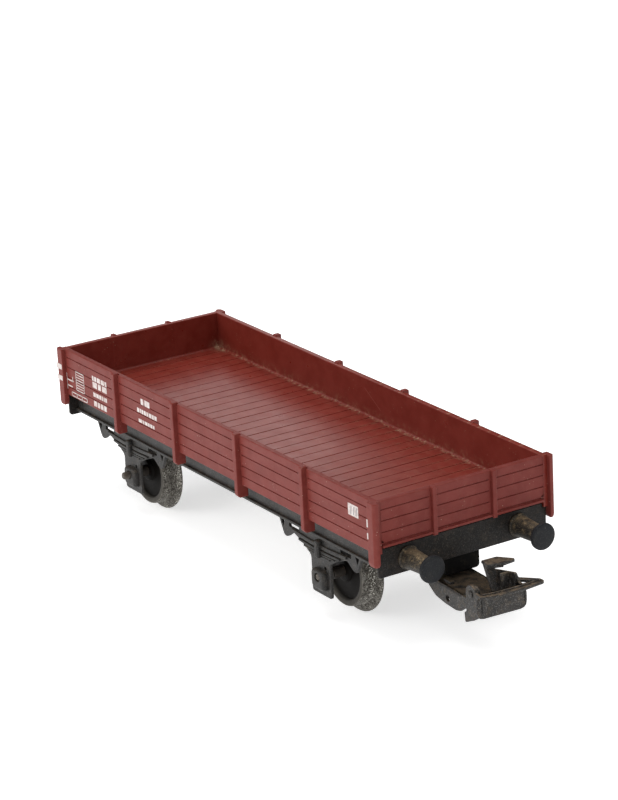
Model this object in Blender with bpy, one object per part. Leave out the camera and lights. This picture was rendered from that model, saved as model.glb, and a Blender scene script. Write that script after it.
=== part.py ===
"""Low-sided open goods wagon with two axles, in 1:87 model scale.

The wagon runs along X, with its front coupler at +X, and stands on Z = 0 on its wheel flanges.
A moulded body sits on a folded sheet-steel underframe and is screwed to it from below, through
a steel ballast plate. Two wheelsets turn in the axle guards. At each end a drawbar swings on a
rivet under the frame and carries a hook and a lifting bow.
"""

from math import atan2, cos, pi, radians, sin, tau

import bmesh
import bpy
from mathutils import Matrix, Vector

MM = 0.001

# Clearances
SEAT_GAP = 0.05 * MM        # between pieces that rest on or are pressed into each other
RUNNING_GAP = 0.05 * MM     # radial, between a rivet and a piece that turns on it
SIDE_GAP = 0.10 * MM        # between plates that slide past each other
JOURNAL_GAP = 0.10 * MM     # radial, between a journal and its hole in the guard

# Moulded body
BODY_LENGTH = 101.6 * MM
BODY_WIDTH = 33.2 * MM
WALL = 1.0 * MM
RIM_Z = 26.75 * MM
FLOOR_Z = 20.0 * MM
FLOOR_THICKNESS = 1.0 * MM
SKIRT_DEPTH = 1.0 * MM      # side walls below the underside of the floor
PLANK_DROPS = (1.45 * MM, 3.30 * MM, 5.20 * MM, 7.05 * MM)  # of the wall grooves below the rim
FLOOR_PLANKS = 35
FLOOR_PITCH = 2.88 * MM     # of the floor grooves, which are centred on the wagon
GROOVE_WIDTH = 0.24 * MM
GROOVE_DEPTH = 0.20 * MM
GROOVE_MARGIN = 0.35 * MM   # plain strip between a groove's end and the next stake

# Stakes and corner posts on the body
STAKE_WIDTH = 1.0 * MM
STAKE_PROUD = 0.85 * MM
STAKE_RISE = 0.3 * MM       # above the rim
STAKE_SPACING = 20.4 * MM
STAKE_BOTTOM_Z = 15.8 * MM
STAKE_FOOT_DEPTH = 2.1 * MM
END_STAKE_SPACING = 11.5 * MM
END_STAKE_WIDTH = 0.8 * MM
END_STAKE_PROUD = 0.6 * MM
END_STAKE_RISE = 0.15 * MM
END_STAKE_DROP = 0.2 * MM   # below the underside of the floor
POST_LENGTH = 2.1 * MM      # along the wagon
POST_WIDTH = 1.0 * MM       # across the wagon
POST_PROUD = 0.8 * MM
POST_BOTTOM_Z = 16.1 * MM
POST_TIP_CUT = 0.6 * MM
END_LIP_HEIGHT = 0.45 * MM
END_LIP_PROUD = 0.35 * MM

# Folded underframe
SHEET = 0.5 * MM
FRAME_LENGTH = 101.0 * MM
FRAME_WIDTH = 29.0 * MM
SOLEBAR_BOTTOM_Z = 14.5 * MM
SOLEBAR_LIP = 0.5 * MM
BEAM_GAP = 0.1 * MM         # between a buffer beam's end and the side wall
BEAM_BOTTOM_Z = 13.8 * MM
BEAM_TOP_DROP = 0.3 * MM    # beam's top edge below the seat of the body

# Axle guards, springs and hangers, which the underframe's sides are cut to
WHEELBASE = 61.6 * MM
AXLE_Z = 7.6 * MM
GUARD_HALF_WIDTH = 2.85 * MM
GUARD_BOTTOM_Z = 4.35 * MM
GUARD_CHAMFER = 0.5 * MM
GUARD_FLANGE = 1.3 * MM     # depth of the turned-in edges at their top
GUARD_FLANGE_TIP = 0.15 * MM
BOX_HALF_WIDTH = 1.9 * MM
BOX_HALF_HEIGHT = 2.4 * MM
BOX_PROUD = 0.9 * MM
SMALL_HOLE_RADIUS = 0.35 * MM
SMALL_HOLE_OFFSET = 2.2 * MM
SMALL_HOLE_RISE = 2.5 * MM
SPRING_HALF_LENGTH = 10.2 * MM
SPRING_EYE_Z = 12.75 * MM
SPRING_END_HEIGHT = 0.8 * MM
SPRING_DEPTH = 2.3 * MM     # from the end leaves' underside down to the shortest leaf
SPRING_PROUD = 0.35 * MM
BUCKLE_WIDTH = 1.3 * MM
HANGER_HALF_WIDTH = 2.3 * MM
HANGER_TIP_Z = 11.4 * MM

# Wheelsets
TREAD_RADIUS = 6.1 * MM
TREAD_RISE = 0.2 * MM       # cone of the tread towards the flange
FLANGE_WIDTH = 0.9 * MM
WHEEL_WIDTH = 3.3 * MM
BACK_TO_BACK = 14.6 * MM
DISH_RADIUS = 5.05 * MM
DISH_DEPTH = 0.7 * MM
HUB_RADIUS = 1.9 * MM
AXLE_RADIUS = 1.0 * MM
AXLE_LENGTH = 30.8 * MM
JOURNAL_RADIUS = 0.65 * MM
JOURNAL_LENGTH = 2.8 * MM
FRONT_AXLE_SHIFT = 0.1 * MM     # each wheelset lies to one side in its side play
REAR_AXLE_SHIFT = -1.25 * MM

# Buffers
BUFFER_SPACING = 21.3 * MM
BUFFER_Z = 16.15 * MM
BUFFER_FACE_X = 57.5 * MM
BUFFER_HEAD_RADIUS = 2.25 * MM
BUFFER_HEAD_THICKNESS = 0.7 * MM
BUFFER_EDGE = 0.2 * MM      # chamfer of the head and step of the base's collar
BUFFER_BASE_RADIUS = 1.75 * MM
BUFFER_TIP_RADIUS = 1.45 * MM
BUFFER_NECK_RADIUS = 1.15 * MM
BUFFER_NECK_LENGTH = 0.35 * MM
BUFFER_BACK_LENGTH = 0.6 * MM
BUFFER_PEG_RADIUS = 1.0 * MM
BUFFER_PEG_LENGTH = 1.0 * MM

# Ballast plate and its screws
BALLAST_LENGTH = 44.0 * MM
BALLAST_WIDTH = 20.0 * MM
BALLAST_THICKNESS = 1.5 * MM
SCREW_SPACING = 32.0 * MM
SCREW_RADIUS = 0.8 * MM
SCREW_HEAD_RADIUS = 2.3 * MM
SCREW_HEAD_HEIGHT = 0.9 * MM
SCREW_SLOT_WIDTH = 0.5 * MM
SCREW_SLOT_DEPTH = 0.4 * MM
BOSS_RADIUS = 1.7 * MM
BOSS_GAP = 0.15 * MM

# Coupler bracket, drawbar and its rivet
BRACKET_WIDTH = 6.8 * MM
BRACKET_LENGTH = 11.0 * MM
DRAWBAR_TOP_Z = 9.75 * MM
DRAWBAR_WIDTH = 7.2 * MM
DRAWBAR_TAIL_WIDTH = 4.4 * MM
DRAWBAR_DEPTH = 3.3 * MM
DRAWBAR_BACK_X = 45.8 * MM
DRAWBAR_PLATE_X = 57.0 * MM
DRAWBAR_HOLE_X = 51.7 * MM
DRAWBAR_HOLE_RADIUS = 0.55 * MM
FRONT_SWING = radians(-3.2)     # the front coupler rests a little to the right
PIVOT_X = 42.0 * MM
PIVOT_RADIUS = 0.8 * MM
PIVOT_HEAD_RADIUS = 1.35 * MM
PIVOT_HEAD_HEIGHT = 0.5 * MM
SPRING_WIRE_RADIUS = 0.15 * MM
SPRING_COIL_RADIUS = 1.2 * MM
SPRING_TURNS = 3
SPRING_PITCH = 0.40 * MM

# Hook
HOOK_WIDTH = 1.5 * MM
HOOK_TOP_Z = 13.95 * MM
HOOK_LEAN = 1.7 * MM
HOOK_FOOT = 1.6 * MM
FLAG_WIDTH = 3.4 * MM
FLAG_LENGTH = 2.9 * MM
FLAG_TURN = 1.9 * MM

# Bow and its rivets
BOW_PIN_X = 59.6 * MM
BOW_PIN_Z = 11.25 * MM
BOW_PIN_RADIUS = 0.4 * MM
BOW_RIVET_HEAD_RADIUS = 0.75 * MM
BOW_RIVET_HEAD = 0.3 * MM
EAR_RADIUS = 1.5 * MM
BOW_REACH = 2.8 * MM        # from the pin to the front plate's outer face
BOW_DROP = 3.4 * MM         # from the pin down to the front plate's edge
BOW_FOOT_DROP = 5.0 * MM
BOW_BAR_DEPTH = 0.9 * MM
BOW_HORN = 3.5 * MM

# Facets of round shapes
FACETS_WHEEL = 32
FACETS_ROUND = 20
FACETS_SMALL = 12


def clear_scene():
    """Start from an empty scene."""
    for item in list(bpy.data.objects):
        bpy.data.objects.remove(item)


def finish(name, colour, roughness, metallic):
    """Return a material of one colour."""
    material = bpy.data.materials.new(name)
    material.use_nodes = True
    shader = material.node_tree.nodes["Principled BSDF"]
    shader.inputs["Base Color"].default_value = (*colour, 1.0)
    shader.inputs["Roughness"].default_value = roughness
    shader.inputs["Metallic"].default_value = metallic
    return material


def add_object(name, shape):
    """Turn a bmesh into an object with its faces pointing out."""
    bmesh.ops.recalc_face_normals(shape, faces=shape.faces)
    mesh = bpy.data.meshes.new(name)
    shape.to_mesh(mesh)
    shape.free()
    item = bpy.data.objects.new(name, mesh)
    bpy.context.scene.collection.objects.link(item)
    return item


def add_box(name, low, high):
    """Make a box between two corners."""
    shape = bmesh.new()
    bmesh.ops.create_cube(shape, size=1.0)
    size = Vector(high) - Vector(low)
    middle = (Vector(high) + Vector(low)) / 2
    bmesh.ops.scale(shape, vec=size, verts=shape.verts)
    bmesh.ops.translate(shape, vec=middle, verts=shape.verts)
    return add_object(name, shape)


def add_boxes(name, corner_pairs):
    """Make one object of several boxes that don't touch."""
    shape = bmesh.new()
    for low, high in corner_pairs:
        size = Vector(high) - Vector(low)
        middle = (Vector(high) + Vector(low)) / 2
        made = bmesh.ops.create_cube(shape, size=1.0)["verts"]
        bmesh.ops.scale(shape, vec=size, verts=made)
        bmesh.ops.translate(shape, vec=middle, verts=made)
    return add_object(name, shape)


def add_prism(name, outline, axis, start, stop):
    """Extrude an outline along X, Y or Z from start to stop.

    The outline's points are (y, z), (x, z) or (x, y).
    """
    shape = bmesh.new()
    place = {
        "X": lambda a, b: (start, a, b),
        "Y": lambda a, b: (a, start, b),
        "Z": lambda a, b: (a, b, start),
    }[axis]
    corners = [shape.verts.new(place(a, b)) for a, b in outline]
    face = shape.faces.new(corners)
    step = {"X": (1, 0, 0), "Y": (0, 1, 0), "Z": (0, 0, 1)}[axis]
    moved = bmesh.ops.extrude_face_region(shape, geom=[face])["geom"]
    verts = [part for part in moved if isinstance(part, bmesh.types.BMVert)]
    bmesh.ops.translate(shape, vec=Vector(step) * (stop - start), verts=verts)
    return add_object(name, shape)


def add_turned(name, profile, axis, centre, facets):
    """Spin a profile of (distance along the axis, radius) points round an axis through centre."""
    shape = bmesh.new()
    along = {"X": Vector((1, 0, 0)), "Y": Vector((0, 1, 0)), "Z": Vector((0, 0, 1))}[axis]
    across = {"X": Vector((0, 1, 0)), "Y": Vector((1, 0, 0)), "Z": Vector((1, 0, 0))}[axis]
    middle = Vector(centre)
    verts = [shape.verts.new(middle + along * at + across * radius) for at, radius in profile]
    edges = [shape.edges.new(pair) for pair in zip(verts, verts[1:])]
    if profile[0][1] > 0.0:
        edges.append(shape.edges.new((verts[-1], verts[0])))
    bmesh.ops.spin(
        shape, geom=verts + edges, cent=middle, axis=along, angle=tau, steps=facets, use_merge=True
    )
    bmesh.ops.remove_doubles(shape, verts=shape.verts, dist=0.001 * MM)
    item = add_object(name, shape)
    item.data.shade_smooth()
    item.data.set_sharp_from_angle(angle=radians(35))
    return item


def combine(target, tool, operation):
    """Join a tool on to a target, or cut it away, and remove the tool."""
    modifier = target.modifiers.new("combine", "BOOLEAN")
    modifier.operation = operation
    modifier.solver = "EXACT"
    modifier.object = tool
    bpy.context.view_layer.update()
    evaluated = target.evaluated_get(bpy.context.evaluated_depsgraph_get())
    mesh = bpy.data.meshes.new_from_object(evaluated)
    target.modifiers.clear()
    target.data = mesh
    bpy.data.objects.remove(tool)


def join(target, *tools):
    """Join each tool on to a target."""
    for tool in tools:
        combine(target, tool, "UNION")


def cut(target, *tools):
    """Cut each tool from a target."""
    for tool in tools:
        combine(target, tool, "DIFFERENCE")


def hole(axis, centre, radius, length, facets=FACETS_SMALL):
    """Return a round cutter of a given length, centred on a point."""
    half = length / 2
    profile = [(-half, 0.0), (-half, radius), (half, radius), (half, 0.0)]
    return add_turned("cutter", profile, axis, centre, facets)


def arc(centre, radius, first, last, steps):
    """Return points along an arc in a plane, from one angle in degrees to another."""
    return [
        (
            centre[0] + radius * cos(radians(first + (last - first) * step / steps)),
            centre[1] + radius * sin(radians(first + (last - first) * step / steps)),
        )
        for step in range(steps + 1)
    ]


def swing(end):
    """Return the turn of a coupler about its rivet, as it rests at one end."""
    pivot = Matrix.Translation((PIVOT_X, 0, 0))
    angle = FRONT_SWING if end > 0 else 0.0
    return pivot @ Matrix.Rotation(angle, 4, "Z") @ pivot.inverted()


def settle(item, material, origin=(0, 0, 0), end=1, swings=False):
    """Turn a front piece to its end of the wagon, put its origin on a point and dress it."""
    turn = Matrix.Identity(4) if end > 0 else Matrix.Rotation(pi, 4, "Z")
    if swings:
        turn = turn @ swing(end)
    point = turn @ Vector(origin)
    item.data.transform(Matrix.Translation(-point) @ turn)
    item.location = point
    item.data.materials.clear()
    item.data.materials.append(material)
    return item


def stake_stations():
    """Return the places of the four stakes along one side."""
    return [STAKE_SPACING * step for step in (-1.5, -0.5, 0.5, 1.5)]


def end_stations():
    """Return the places of the two stakes across one end."""
    return [-END_STAKE_SPACING / 2, END_STAKE_SPACING / 2]


def groove_runs(limit, stations, width):
    """Return the stretches between stakes of one width, each from its start to its end."""
    keep = width / 2 + GROOVE_MARGIN
    edges = [-limit] + [edge for at in stations for edge in (at - keep, at + keep)] + [limit]
    return list(zip(edges[0::2], edges[1::2]))


def wall_grooves():
    """Return the corners of the grooves between the planks of the walls."""
    half_length = BODY_LENGTH / 2
    half_width = BODY_WIDTH / 2
    side_limit = half_length + POST_PROUD - POST_LENGTH - GROOVE_MARGIN
    end_limit = half_width + POST_PROUD - POST_WIDTH - GROOVE_MARGIN
    boxes = []
    for drop in PLANK_DROPS:
        low = RIM_Z - drop - GROOVE_WIDTH / 2
        high = RIM_Z - drop + GROOVE_WIDTH / 2
        for sign in (-1, 1):
            face = sorted((sign * (half_width - GROOVE_DEPTH), sign * (half_width + WALL)))
            for start, stop in groove_runs(side_limit, stake_stations(), STAKE_WIDTH):
                boxes.append(((start, face[0], low), (stop, face[1], high)))
            face = sorted((sign * (half_length - GROOVE_DEPTH), sign * (half_length + WALL)))
            for start, stop in groove_runs(end_limit, end_stations(), END_STAKE_WIDTH):
                boxes.append(((face[0], start, low), (face[1], stop, high)))
    return boxes


def floor_grooves():
    """Return the corners of the grooves across the floor."""
    reach = BODY_WIDTH / 2 - WALL - GROOVE_MARGIN
    boxes = []
    for step in range(1, FLOOR_PLANKS):
        middle = (step - FLOOR_PLANKS / 2) * FLOOR_PITCH
        low = (middle - GROOVE_WIDTH / 2, -reach, FLOOR_Z - GROOVE_DEPTH)
        high = (middle + GROOVE_WIDTH / 2, reach, FLOOR_Z + GROOVE_DEPTH)
        boxes.append((low, high))
    return boxes


def stake_boxes():
    """Return the corners of the side and end stakes, with their feet below the walls."""
    half_length = BODY_LENGTH / 2
    half_width = BODY_WIDTH / 2
    half = STAKE_WIDTH / 2
    wall_bottom = FLOOR_Z - FLOOR_THICKNESS - SKIRT_DEPTH
    end_bottom = FLOOR_Z - FLOOR_THICKNESS - END_STAKE_DROP
    root = WALL / 2
    top = RIM_Z + STAKE_RISE
    end_top = RIM_Z + END_STAKE_RISE
    boxes = []
    for sign in (-1, 1):
        outer = sign * (half_width + STAKE_PROUD)
        for at in stake_stations():
            near = sorted((outer, sign * (half_width - root)))
            boxes.append(((at - half, near[0], wall_bottom), (at + half, near[1], top)))
            foot = sorted((outer, outer - sign * STAKE_FOOT_DEPTH))
            boxes.append(
                ((at - half, foot[0], STAKE_BOTTOM_Z), (at + half, foot[1], wall_bottom + root))
            )
        outer = sign * (half_length + END_STAKE_PROUD)
        for at in end_stations():
            near = sorted((outer, sign * (half_length - root)))
            ends = (at - END_STAKE_WIDTH / 2, at + END_STAKE_WIDTH / 2)
            boxes.append(((near[0], ends[0], end_bottom), (near[1], ends[1], end_top)))
    return boxes


def corner_posts():
    """Return the four corner posts, each cut to a slant at its foot."""
    posts = []
    top = RIM_Z - 0.01 * MM
    for sign_x in (-1, 1):
        outer = BODY_LENGTH / 2 + POST_PROUD
        inner = outer - POST_LENGTH
        outline = [
            (sign_x * inner, POST_BOTTOM_Z + POST_TIP_CUT),
            (sign_x * (inner + POST_TIP_CUT), POST_BOTTOM_Z),
            (sign_x * outer, POST_BOTTOM_Z),
            (sign_x * outer, top),
            (sign_x * inner, top),
        ]
        for sign_y in (-1, 1):
            face = sign_y * (BODY_WIDTH / 2 + POST_PROUD)
            back = face - sign_y * POST_WIDTH
            start, stop = sorted((face, back))
            posts.append(add_prism("post", outline, "Y", start, stop))
    return posts


def end_lips():
    """Return the ledges along the bottom edges of the end walls."""
    half_length = BODY_LENGTH / 2
    reach = BODY_WIDTH / 2 - WALL
    bottom = FLOOR_Z - FLOOR_THICKNESS
    lips = []
    for sign in (-1, 1):
        ends = sorted((sign * (half_length - WALL / 2), sign * (half_length + END_LIP_PROUD)))
        low = (ends[0], -reach, bottom)
        high = (ends[1], reach, bottom + END_LIP_HEIGHT)
        lips.append(add_box("lip", low, high))
    return lips


def boss_length():
    """Return how far the screw bosses stand down from the underside of the floor."""
    return SHEET + BALLAST_THICKNESS + 2 * SEAT_GAP


def make_body(material):
    """Make the moulded body: floor, planked walls, stakes, posts and screw bosses."""
    half_length = BODY_LENGTH / 2
    half_width = BODY_WIDTH / 2
    underside = FLOOR_Z - FLOOR_THICKNESS
    wall_bottom = underside - SKIRT_DEPTH
    body = add_box(
        "wagon_body", (-half_length, -half_width, wall_bottom), (half_length, half_width, RIM_Z)
    )
    inner_length = half_length - WALL
    inner_width = half_width - WALL
    cargo = add_box(
        "cutter", (-inner_length, -inner_width, FLOOR_Z), (inner_length, inner_width, RIM_Z + WALL)
    )
    beneath = add_box(
        "cutter",
        (-half_length - WALL, -inner_width, wall_bottom - WALL),
        (half_length + WALL, inner_width, underside),
    )
    cut(body, cargo, beneath)
    cut(body, add_boxes("cutter", floor_grooves()), add_boxes("cutter", wall_grooves()))
    for low, high in stake_boxes():
        join(body, add_box("stake", low, high))
    join(body, *corner_posts())
    join(body, *end_lips())
    for at in (-SCREW_SPACING / 2, SCREW_SPACING / 2):
        length = boss_length()
        boss = [(-length, 0.0), (-length, BOSS_RADIUS), (0.3 * MM, BOSS_RADIUS), (0.3 * MM, 0.0)]
        join(body, add_turned("boss", boss, "Z", (at, 0, underside), FACETS_ROUND))
        pilot = hole("Z", (at, 0, underside - length / 2), SCREW_RADIUS + SEAT_GAP, length + WALL)
        cut(body, pilot)
    return settle(body, material)


def frame_top():
    """Return the height of the underframe's top face, on which the body sits."""
    return FLOOR_Z - FLOOR_THICKNESS - SEAT_GAP


def guard_outline(axle_x):
    """Return one axle guard with its spring and hangers, from left to right below the solebar."""
    tip = SPRING_HALF_LENGTH
    hang = HANGER_HALF_WIDTH
    leaf = SPRING_EYE_Z - SPRING_DEPTH
    half = [
        (-tip - hang, SOLEBAR_BOTTOM_Z),
        (-tip - 0.3 * hang, HANGER_TIP_Z + 0.2 * MM),
        (-tip, HANGER_TIP_Z),
        (-tip + 0.35 * hang, HANGER_TIP_Z + 0.3 * MM),
        (-tip + hang, SPRING_EYE_Z),
        (-0.5 * tip, SPRING_EYE_Z - 0.45 * SPRING_DEPTH),
        (-GUARD_HALF_WIDTH, leaf),
        (-GUARD_HALF_WIDTH, GUARD_BOTTOM_Z + GUARD_CHAMFER),
        (-GUARD_HALF_WIDTH + GUARD_CHAMFER, GUARD_BOTTOM_Z),
    ]
    mirrored = [(-x, z) for x, z in reversed(half)]
    return [(axle_x + x, z) for x, z in half + mirrored]


def side_outline():
    """Return the outline of one side of the underframe, with both guards."""
    half = FRAME_LENGTH / 2
    top = frame_top()
    outline = [(-half, top), (-half, SOLEBAR_BOTTOM_Z)]
    for axle_x in (-WHEELBASE / 2, WHEELBASE / 2):
        outline += guard_outline(axle_x)
    return outline + [(half, SOLEBAR_BOTTOM_Z), (half, top)]


def spring_gap(axle_x, sign):
    """Return the gap between a spring's leaves and the solebar, to one side of the guard."""
    near = axle_x + sign * 0.48 * SPRING_HALF_LENGTH
    far = axle_x + sign * (SPRING_HALF_LENGTH - 0.9 * HANGER_HALF_WIDTH)
    low = SPRING_EYE_Z + SPRING_END_HEIGHT
    return [(near, low), (far, low), (far, SOLEBAR_BOTTOM_Z), (near, SOLEBAR_BOTTOM_Z)]


def hanger_gap(axle_x, sign):
    """Return the triangular hole in a spring hanger."""
    middle = axle_x + sign * SPRING_HALF_LENGTH
    width = 0.38 * HANGER_HALF_WIDTH
    low = HANGER_TIP_Z + 1.3 * MM
    return [(middle - width, SOLEBAR_BOTTOM_Z), (middle, low), (middle + width, SOLEBAR_BOTTOM_Z)]


def leaf_outline(axle_x):
    """Return the raised leaves of a spring, seen from the side."""
    tip = SPRING_HALF_LENGTH
    top = SPRING_EYE_Z + SPRING_END_HEIGHT
    leaf = SPRING_EYE_Z - SPRING_DEPTH + 0.2 * MM
    near = GUARD_HALF_WIDTH - 0.3 * MM
    points = [(-tip + HANGER_HALF_WIDTH, top - 0.1 * MM), (-tip + HANGER_HALF_WIDTH, SPRING_EYE_Z)]
    points += [(-0.5 * tip, SPRING_EYE_Z - 0.35 * SPRING_DEPTH), (-near, leaf)]
    points += [(-x, z) for x, z in reversed(points)]
    return [(axle_x + x, z) for x, z in points]


def guard_details(side, axle_x, sign):
    """Raise the springs and axleboxes of one guard, turn its edges in and cut its holes."""
    face = sign * FRAME_WIDTH / 2
    inner = face - sign * SHEET
    box_face = face + sign * BOX_PROUD
    start, stop = sorted((face + sign * SPRING_PROUD, inner + sign * SHEET / 2))
    join(side, add_prism("leaves", leaf_outline(axle_x), "Y", start, stop))
    start, stop = sorted((box_face, inner + sign * SHEET / 2))
    buckle_top = SPRING_EYE_Z + SPRING_END_HEIGHT + 0.3 * MM
    buckle_low = SPRING_EYE_Z - SPRING_DEPTH - 0.4 * MM
    buckle = add_box(
        "buckle",
        (axle_x - BUCKLE_WIDTH / 2, start, buckle_low),
        (axle_x + BUCKLE_WIDTH / 2, stop, buckle_top),
    )
    box_outline = [
        (axle_x - BOX_HALF_WIDTH, AXLE_Z - BOX_HALF_HEIGHT),
        (axle_x + BOX_HALF_WIDTH, AXLE_Z - BOX_HALF_HEIGHT),
        (axle_x + BOX_HALF_WIDTH, AXLE_Z + BOX_HALF_HEIGHT),
        (axle_x - BOX_HALF_WIDTH, AXLE_Z + BOX_HALF_HEIGHT),
    ]
    join(side, buckle, add_prism("axlebox", box_outline, "Y", start, stop))
    low = GUARD_BOTTOM_Z + GUARD_CHAMFER
    high = SPRING_EYE_Z - SPRING_DEPTH + SHEET
    flange = [
        (face - sign * SHEET / 2, low),
        (inner - sign * GUARD_FLANGE_TIP, low),
        (inner - sign * GUARD_FLANGE, high),
        (face - sign * SHEET / 2, high),
    ]
    for edge in (-1, 1):
        ends = sorted(
            (axle_x + edge * (GUARD_HALF_WIDTH - 0.01 * MM), axle_x + edge * (GUARD_HALF_WIDTH - SHEET))
        )
        join(side, add_prism("flange", flange, "X", *ends))
    bore_length = 4 * (SHEET + BOX_PROUD)
    cut(side, hole("Y", (axle_x, box_face, AXLE_Z), JOURNAL_RADIUS + JOURNAL_GAP, bore_length))
    spot = (axle_x + SMALL_HOLE_OFFSET, face, AXLE_Z + SMALL_HOLE_RISE)
    cut(side, hole("Y", spot, SMALL_HOLE_RADIUS, 4 * SHEET))
    for edge in (-1, 1):
        start, stop = sorted((face + sign * SHEET, inner - sign * SHEET))
        cut(side, add_prism("cutter", spring_gap(axle_x, edge), "Y", start, stop))
        cut(side, add_prism("cutter", hanger_gap(axle_x, edge), "Y", start, stop))


def make_side(sign):
    """Make one folded side of the underframe, with its lip, springs and guards."""
    face = sign * FRAME_WIDTH / 2
    start, stop = sorted((face, face - sign * SHEET))
    side = add_prism("side", side_outline(), "Y", start, stop)
    half = FRAME_LENGTH / 2 - SHEET
    lip = sorted((face + sign * SOLEBAR_LIP, face - sign * SHEET / 2))
    lip_low = SOLEBAR_BOTTOM_Z + 0.01 * MM
    join(side, add_box("lip", (-half, lip[0], lip_low), (half, lip[1], lip_low + SHEET)))
    for axle_x in (-WHEELBASE / 2, WHEELBASE / 2):
        guard_details(side, axle_x, sign)
    return side


def make_underframe(material):
    """Make the underframe: a web with folded sides, guards and buffer beams."""
    half_length = FRAME_LENGTH / 2
    half_width = FRAME_WIDTH / 2
    top = frame_top()
    inset = SHEET / 2
    frame = add_box(
        "underframe",
        (-half_length + inset, -half_width + inset, top - SHEET),
        (half_length - inset, half_width - inset, top - 0.01 * MM),
    )
    join(frame, make_side(-1), make_side(1))
    for sign in (-1, 1):
        ends = sorted((sign * half_length, sign * (half_length - SHEET)))
        ends = [ends[0] - 0.01 * MM, ends[1] + 0.01 * MM]
        half_beam = BODY_WIDTH / 2 - WALL - BEAM_GAP
        beam = add_box(
            "beam", (ends[0], -half_beam, BEAM_BOTTOM_Z), (ends[1], half_beam, top - BEAM_TOP_DROP)
        )
        join(frame, beam)
        for side in (-1, 1):
            centre = (sign * half_length, side * BUFFER_SPACING / 2, BUFFER_Z)
            cut(frame, hole("X", centre, BUFFER_PEG_RADIUS + SEAT_GAP, 4 * SHEET))
        cut(frame, hole("Z", (sign * SCREW_SPACING / 2, 0, top), BOSS_RADIUS + BOSS_GAP, 4 * SHEET))
    return settle(frame, material)


def make_ballast(material):
    """Make the steel plate that weighs the wagon down, under the web of the frame."""
    top = frame_top() - SHEET - SEAT_GAP
    plate = add_box(
        "ballast_plate",
        (-BALLAST_LENGTH / 2, -BALLAST_WIDTH / 2, top - BALLAST_THICKNESS),
        (BALLAST_LENGTH / 2, BALLAST_WIDTH / 2, top),
    )
    for at in (-SCREW_SPACING / 2, SCREW_SPACING / 2):
        cut(plate, hole("Z", (at, 0, top), BOSS_RADIUS + BOSS_GAP, 4 * BALLAST_THICKNESS))
    return settle(plate, material)


def make_screw(name, end, material):
    """Make one slotted screw, from below the ballast plate up into the body's boss."""
    seat = frame_top() - SHEET - SEAT_GAP - BALLAST_THICKNESS - SEAT_GAP
    bottom = seat - SCREW_HEAD_HEIGHT
    tip = FLOOR_Z - FLOOR_THICKNESS + WALL / 2 - 2 * SEAT_GAP
    chamfer = 0.25 * MM
    profile = [
        (bottom, 0.0),
        (bottom, SCREW_HEAD_RADIUS - chamfer),
        (bottom + chamfer, SCREW_HEAD_RADIUS),
        (seat, SCREW_HEAD_RADIUS),
        (seat, SCREW_RADIUS),
        (tip - chamfer, SCREW_RADIUS),
        (tip, SCREW_RADIUS - chamfer),
        (tip, 0.0),
    ]
    at = SCREW_SPACING / 2
    screw = add_turned(name, profile, "Z", (at, 0, 0), FACETS_ROUND)
    slot = add_box(
        "cutter",
        (at - SCREW_SLOT_WIDTH / 2, -2 * SCREW_HEAD_RADIUS, bottom - SCREW_SLOT_DEPTH),
        (at + SCREW_SLOT_WIDTH / 2, 2 * SCREW_HEAD_RADIUS, bottom + SCREW_SLOT_DEPTH),
    )
    cut(screw, slot)
    return settle(screw, material, (at, 0, bottom), end)


def make_buffer(name, end, side, material):
    """Make one buffer: a peg in the beam, a tapered barrel and a flat round head."""
    beam = FRAME_LENGTH / 2 + SEAT_GAP + 0.01 * MM
    head = BUFFER_FACE_X
    back = head - BUFFER_HEAD_THICKNESS
    neck = back - BUFFER_BACK_LENGTH
    barrel = neck - BUFFER_NECK_LENGTH
    edge = BUFFER_EDGE
    profile = [
        (beam - BUFFER_PEG_LENGTH, 0.0),
        (beam - BUFFER_PEG_LENGTH, BUFFER_PEG_RADIUS),
        (beam, BUFFER_PEG_RADIUS),
        (beam, BUFFER_BASE_RADIUS + edge),
        (beam + 2 * edge, BUFFER_BASE_RADIUS + edge),
        (beam + 2 * edge, BUFFER_BASE_RADIUS),
        (barrel, BUFFER_TIP_RADIUS),
        (barrel, BUFFER_NECK_RADIUS),
        (neck, BUFFER_NECK_RADIUS),
        (neck, BUFFER_TIP_RADIUS),
        (back, BUFFER_HEAD_RADIUS),
        (head - edge, BUFFER_HEAD_RADIUS),
        (head, BUFFER_HEAD_RADIUS - edge),
        (head, 0.0),
    ]
    centre = (0, side * BUFFER_SPACING / 2, BUFFER_Z)
    buffer = add_turned(name, profile, "X", centre, FACETS_ROUND)
    return settle(buffer, material, (beam, centre[1], BUFFER_Z), end)


def wheel_profile():
    """Return a wheel's section from its back face outwards, as (distance, radius) points."""
    bore = AXLE_RADIUS + SEAT_GAP
    tip = 0.35 * FLANGE_WIDTH
    return [
        (0.0, bore),
        (0.0, AXLE_Z - 0.35 * MM),
        (tip, AXLE_Z),
        (FLANGE_WIDTH - tip, AXLE_Z),
        (FLANGE_WIDTH + 0.15 * MM, TREAD_RADIUS + TREAD_RISE),
        (WHEEL_WIDTH - 0.15 * MM, TREAD_RADIUS),
        (WHEEL_WIDTH, TREAD_RADIUS - 0.15 * MM),
        (WHEEL_WIDTH, DISH_RADIUS),
        (WHEEL_WIDTH - DISH_DEPTH, DISH_RADIUS - 0.2 * MM),
        (WHEEL_WIDTH - DISH_DEPTH, HUB_RADIUS),
        (WHEEL_WIDTH - 0.1 * MM, HUB_RADIUS - 0.2 * MM),
        (WHEEL_WIDTH - 0.1 * MM, bore),
    ]


def make_wheel(name, axle_x, shift, sign, material):
    """Make one wheel of a wheelset, on one side of its axle."""
    profile = [(sign * (BACK_TO_BACK / 2 + at), radius) for at, radius in wheel_profile()]
    wheel = add_turned(name, profile, "Y", (axle_x, shift, AXLE_Z), FACETS_WHEEL)
    return settle(wheel, material, (axle_x, 0, AXLE_Z))


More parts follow.
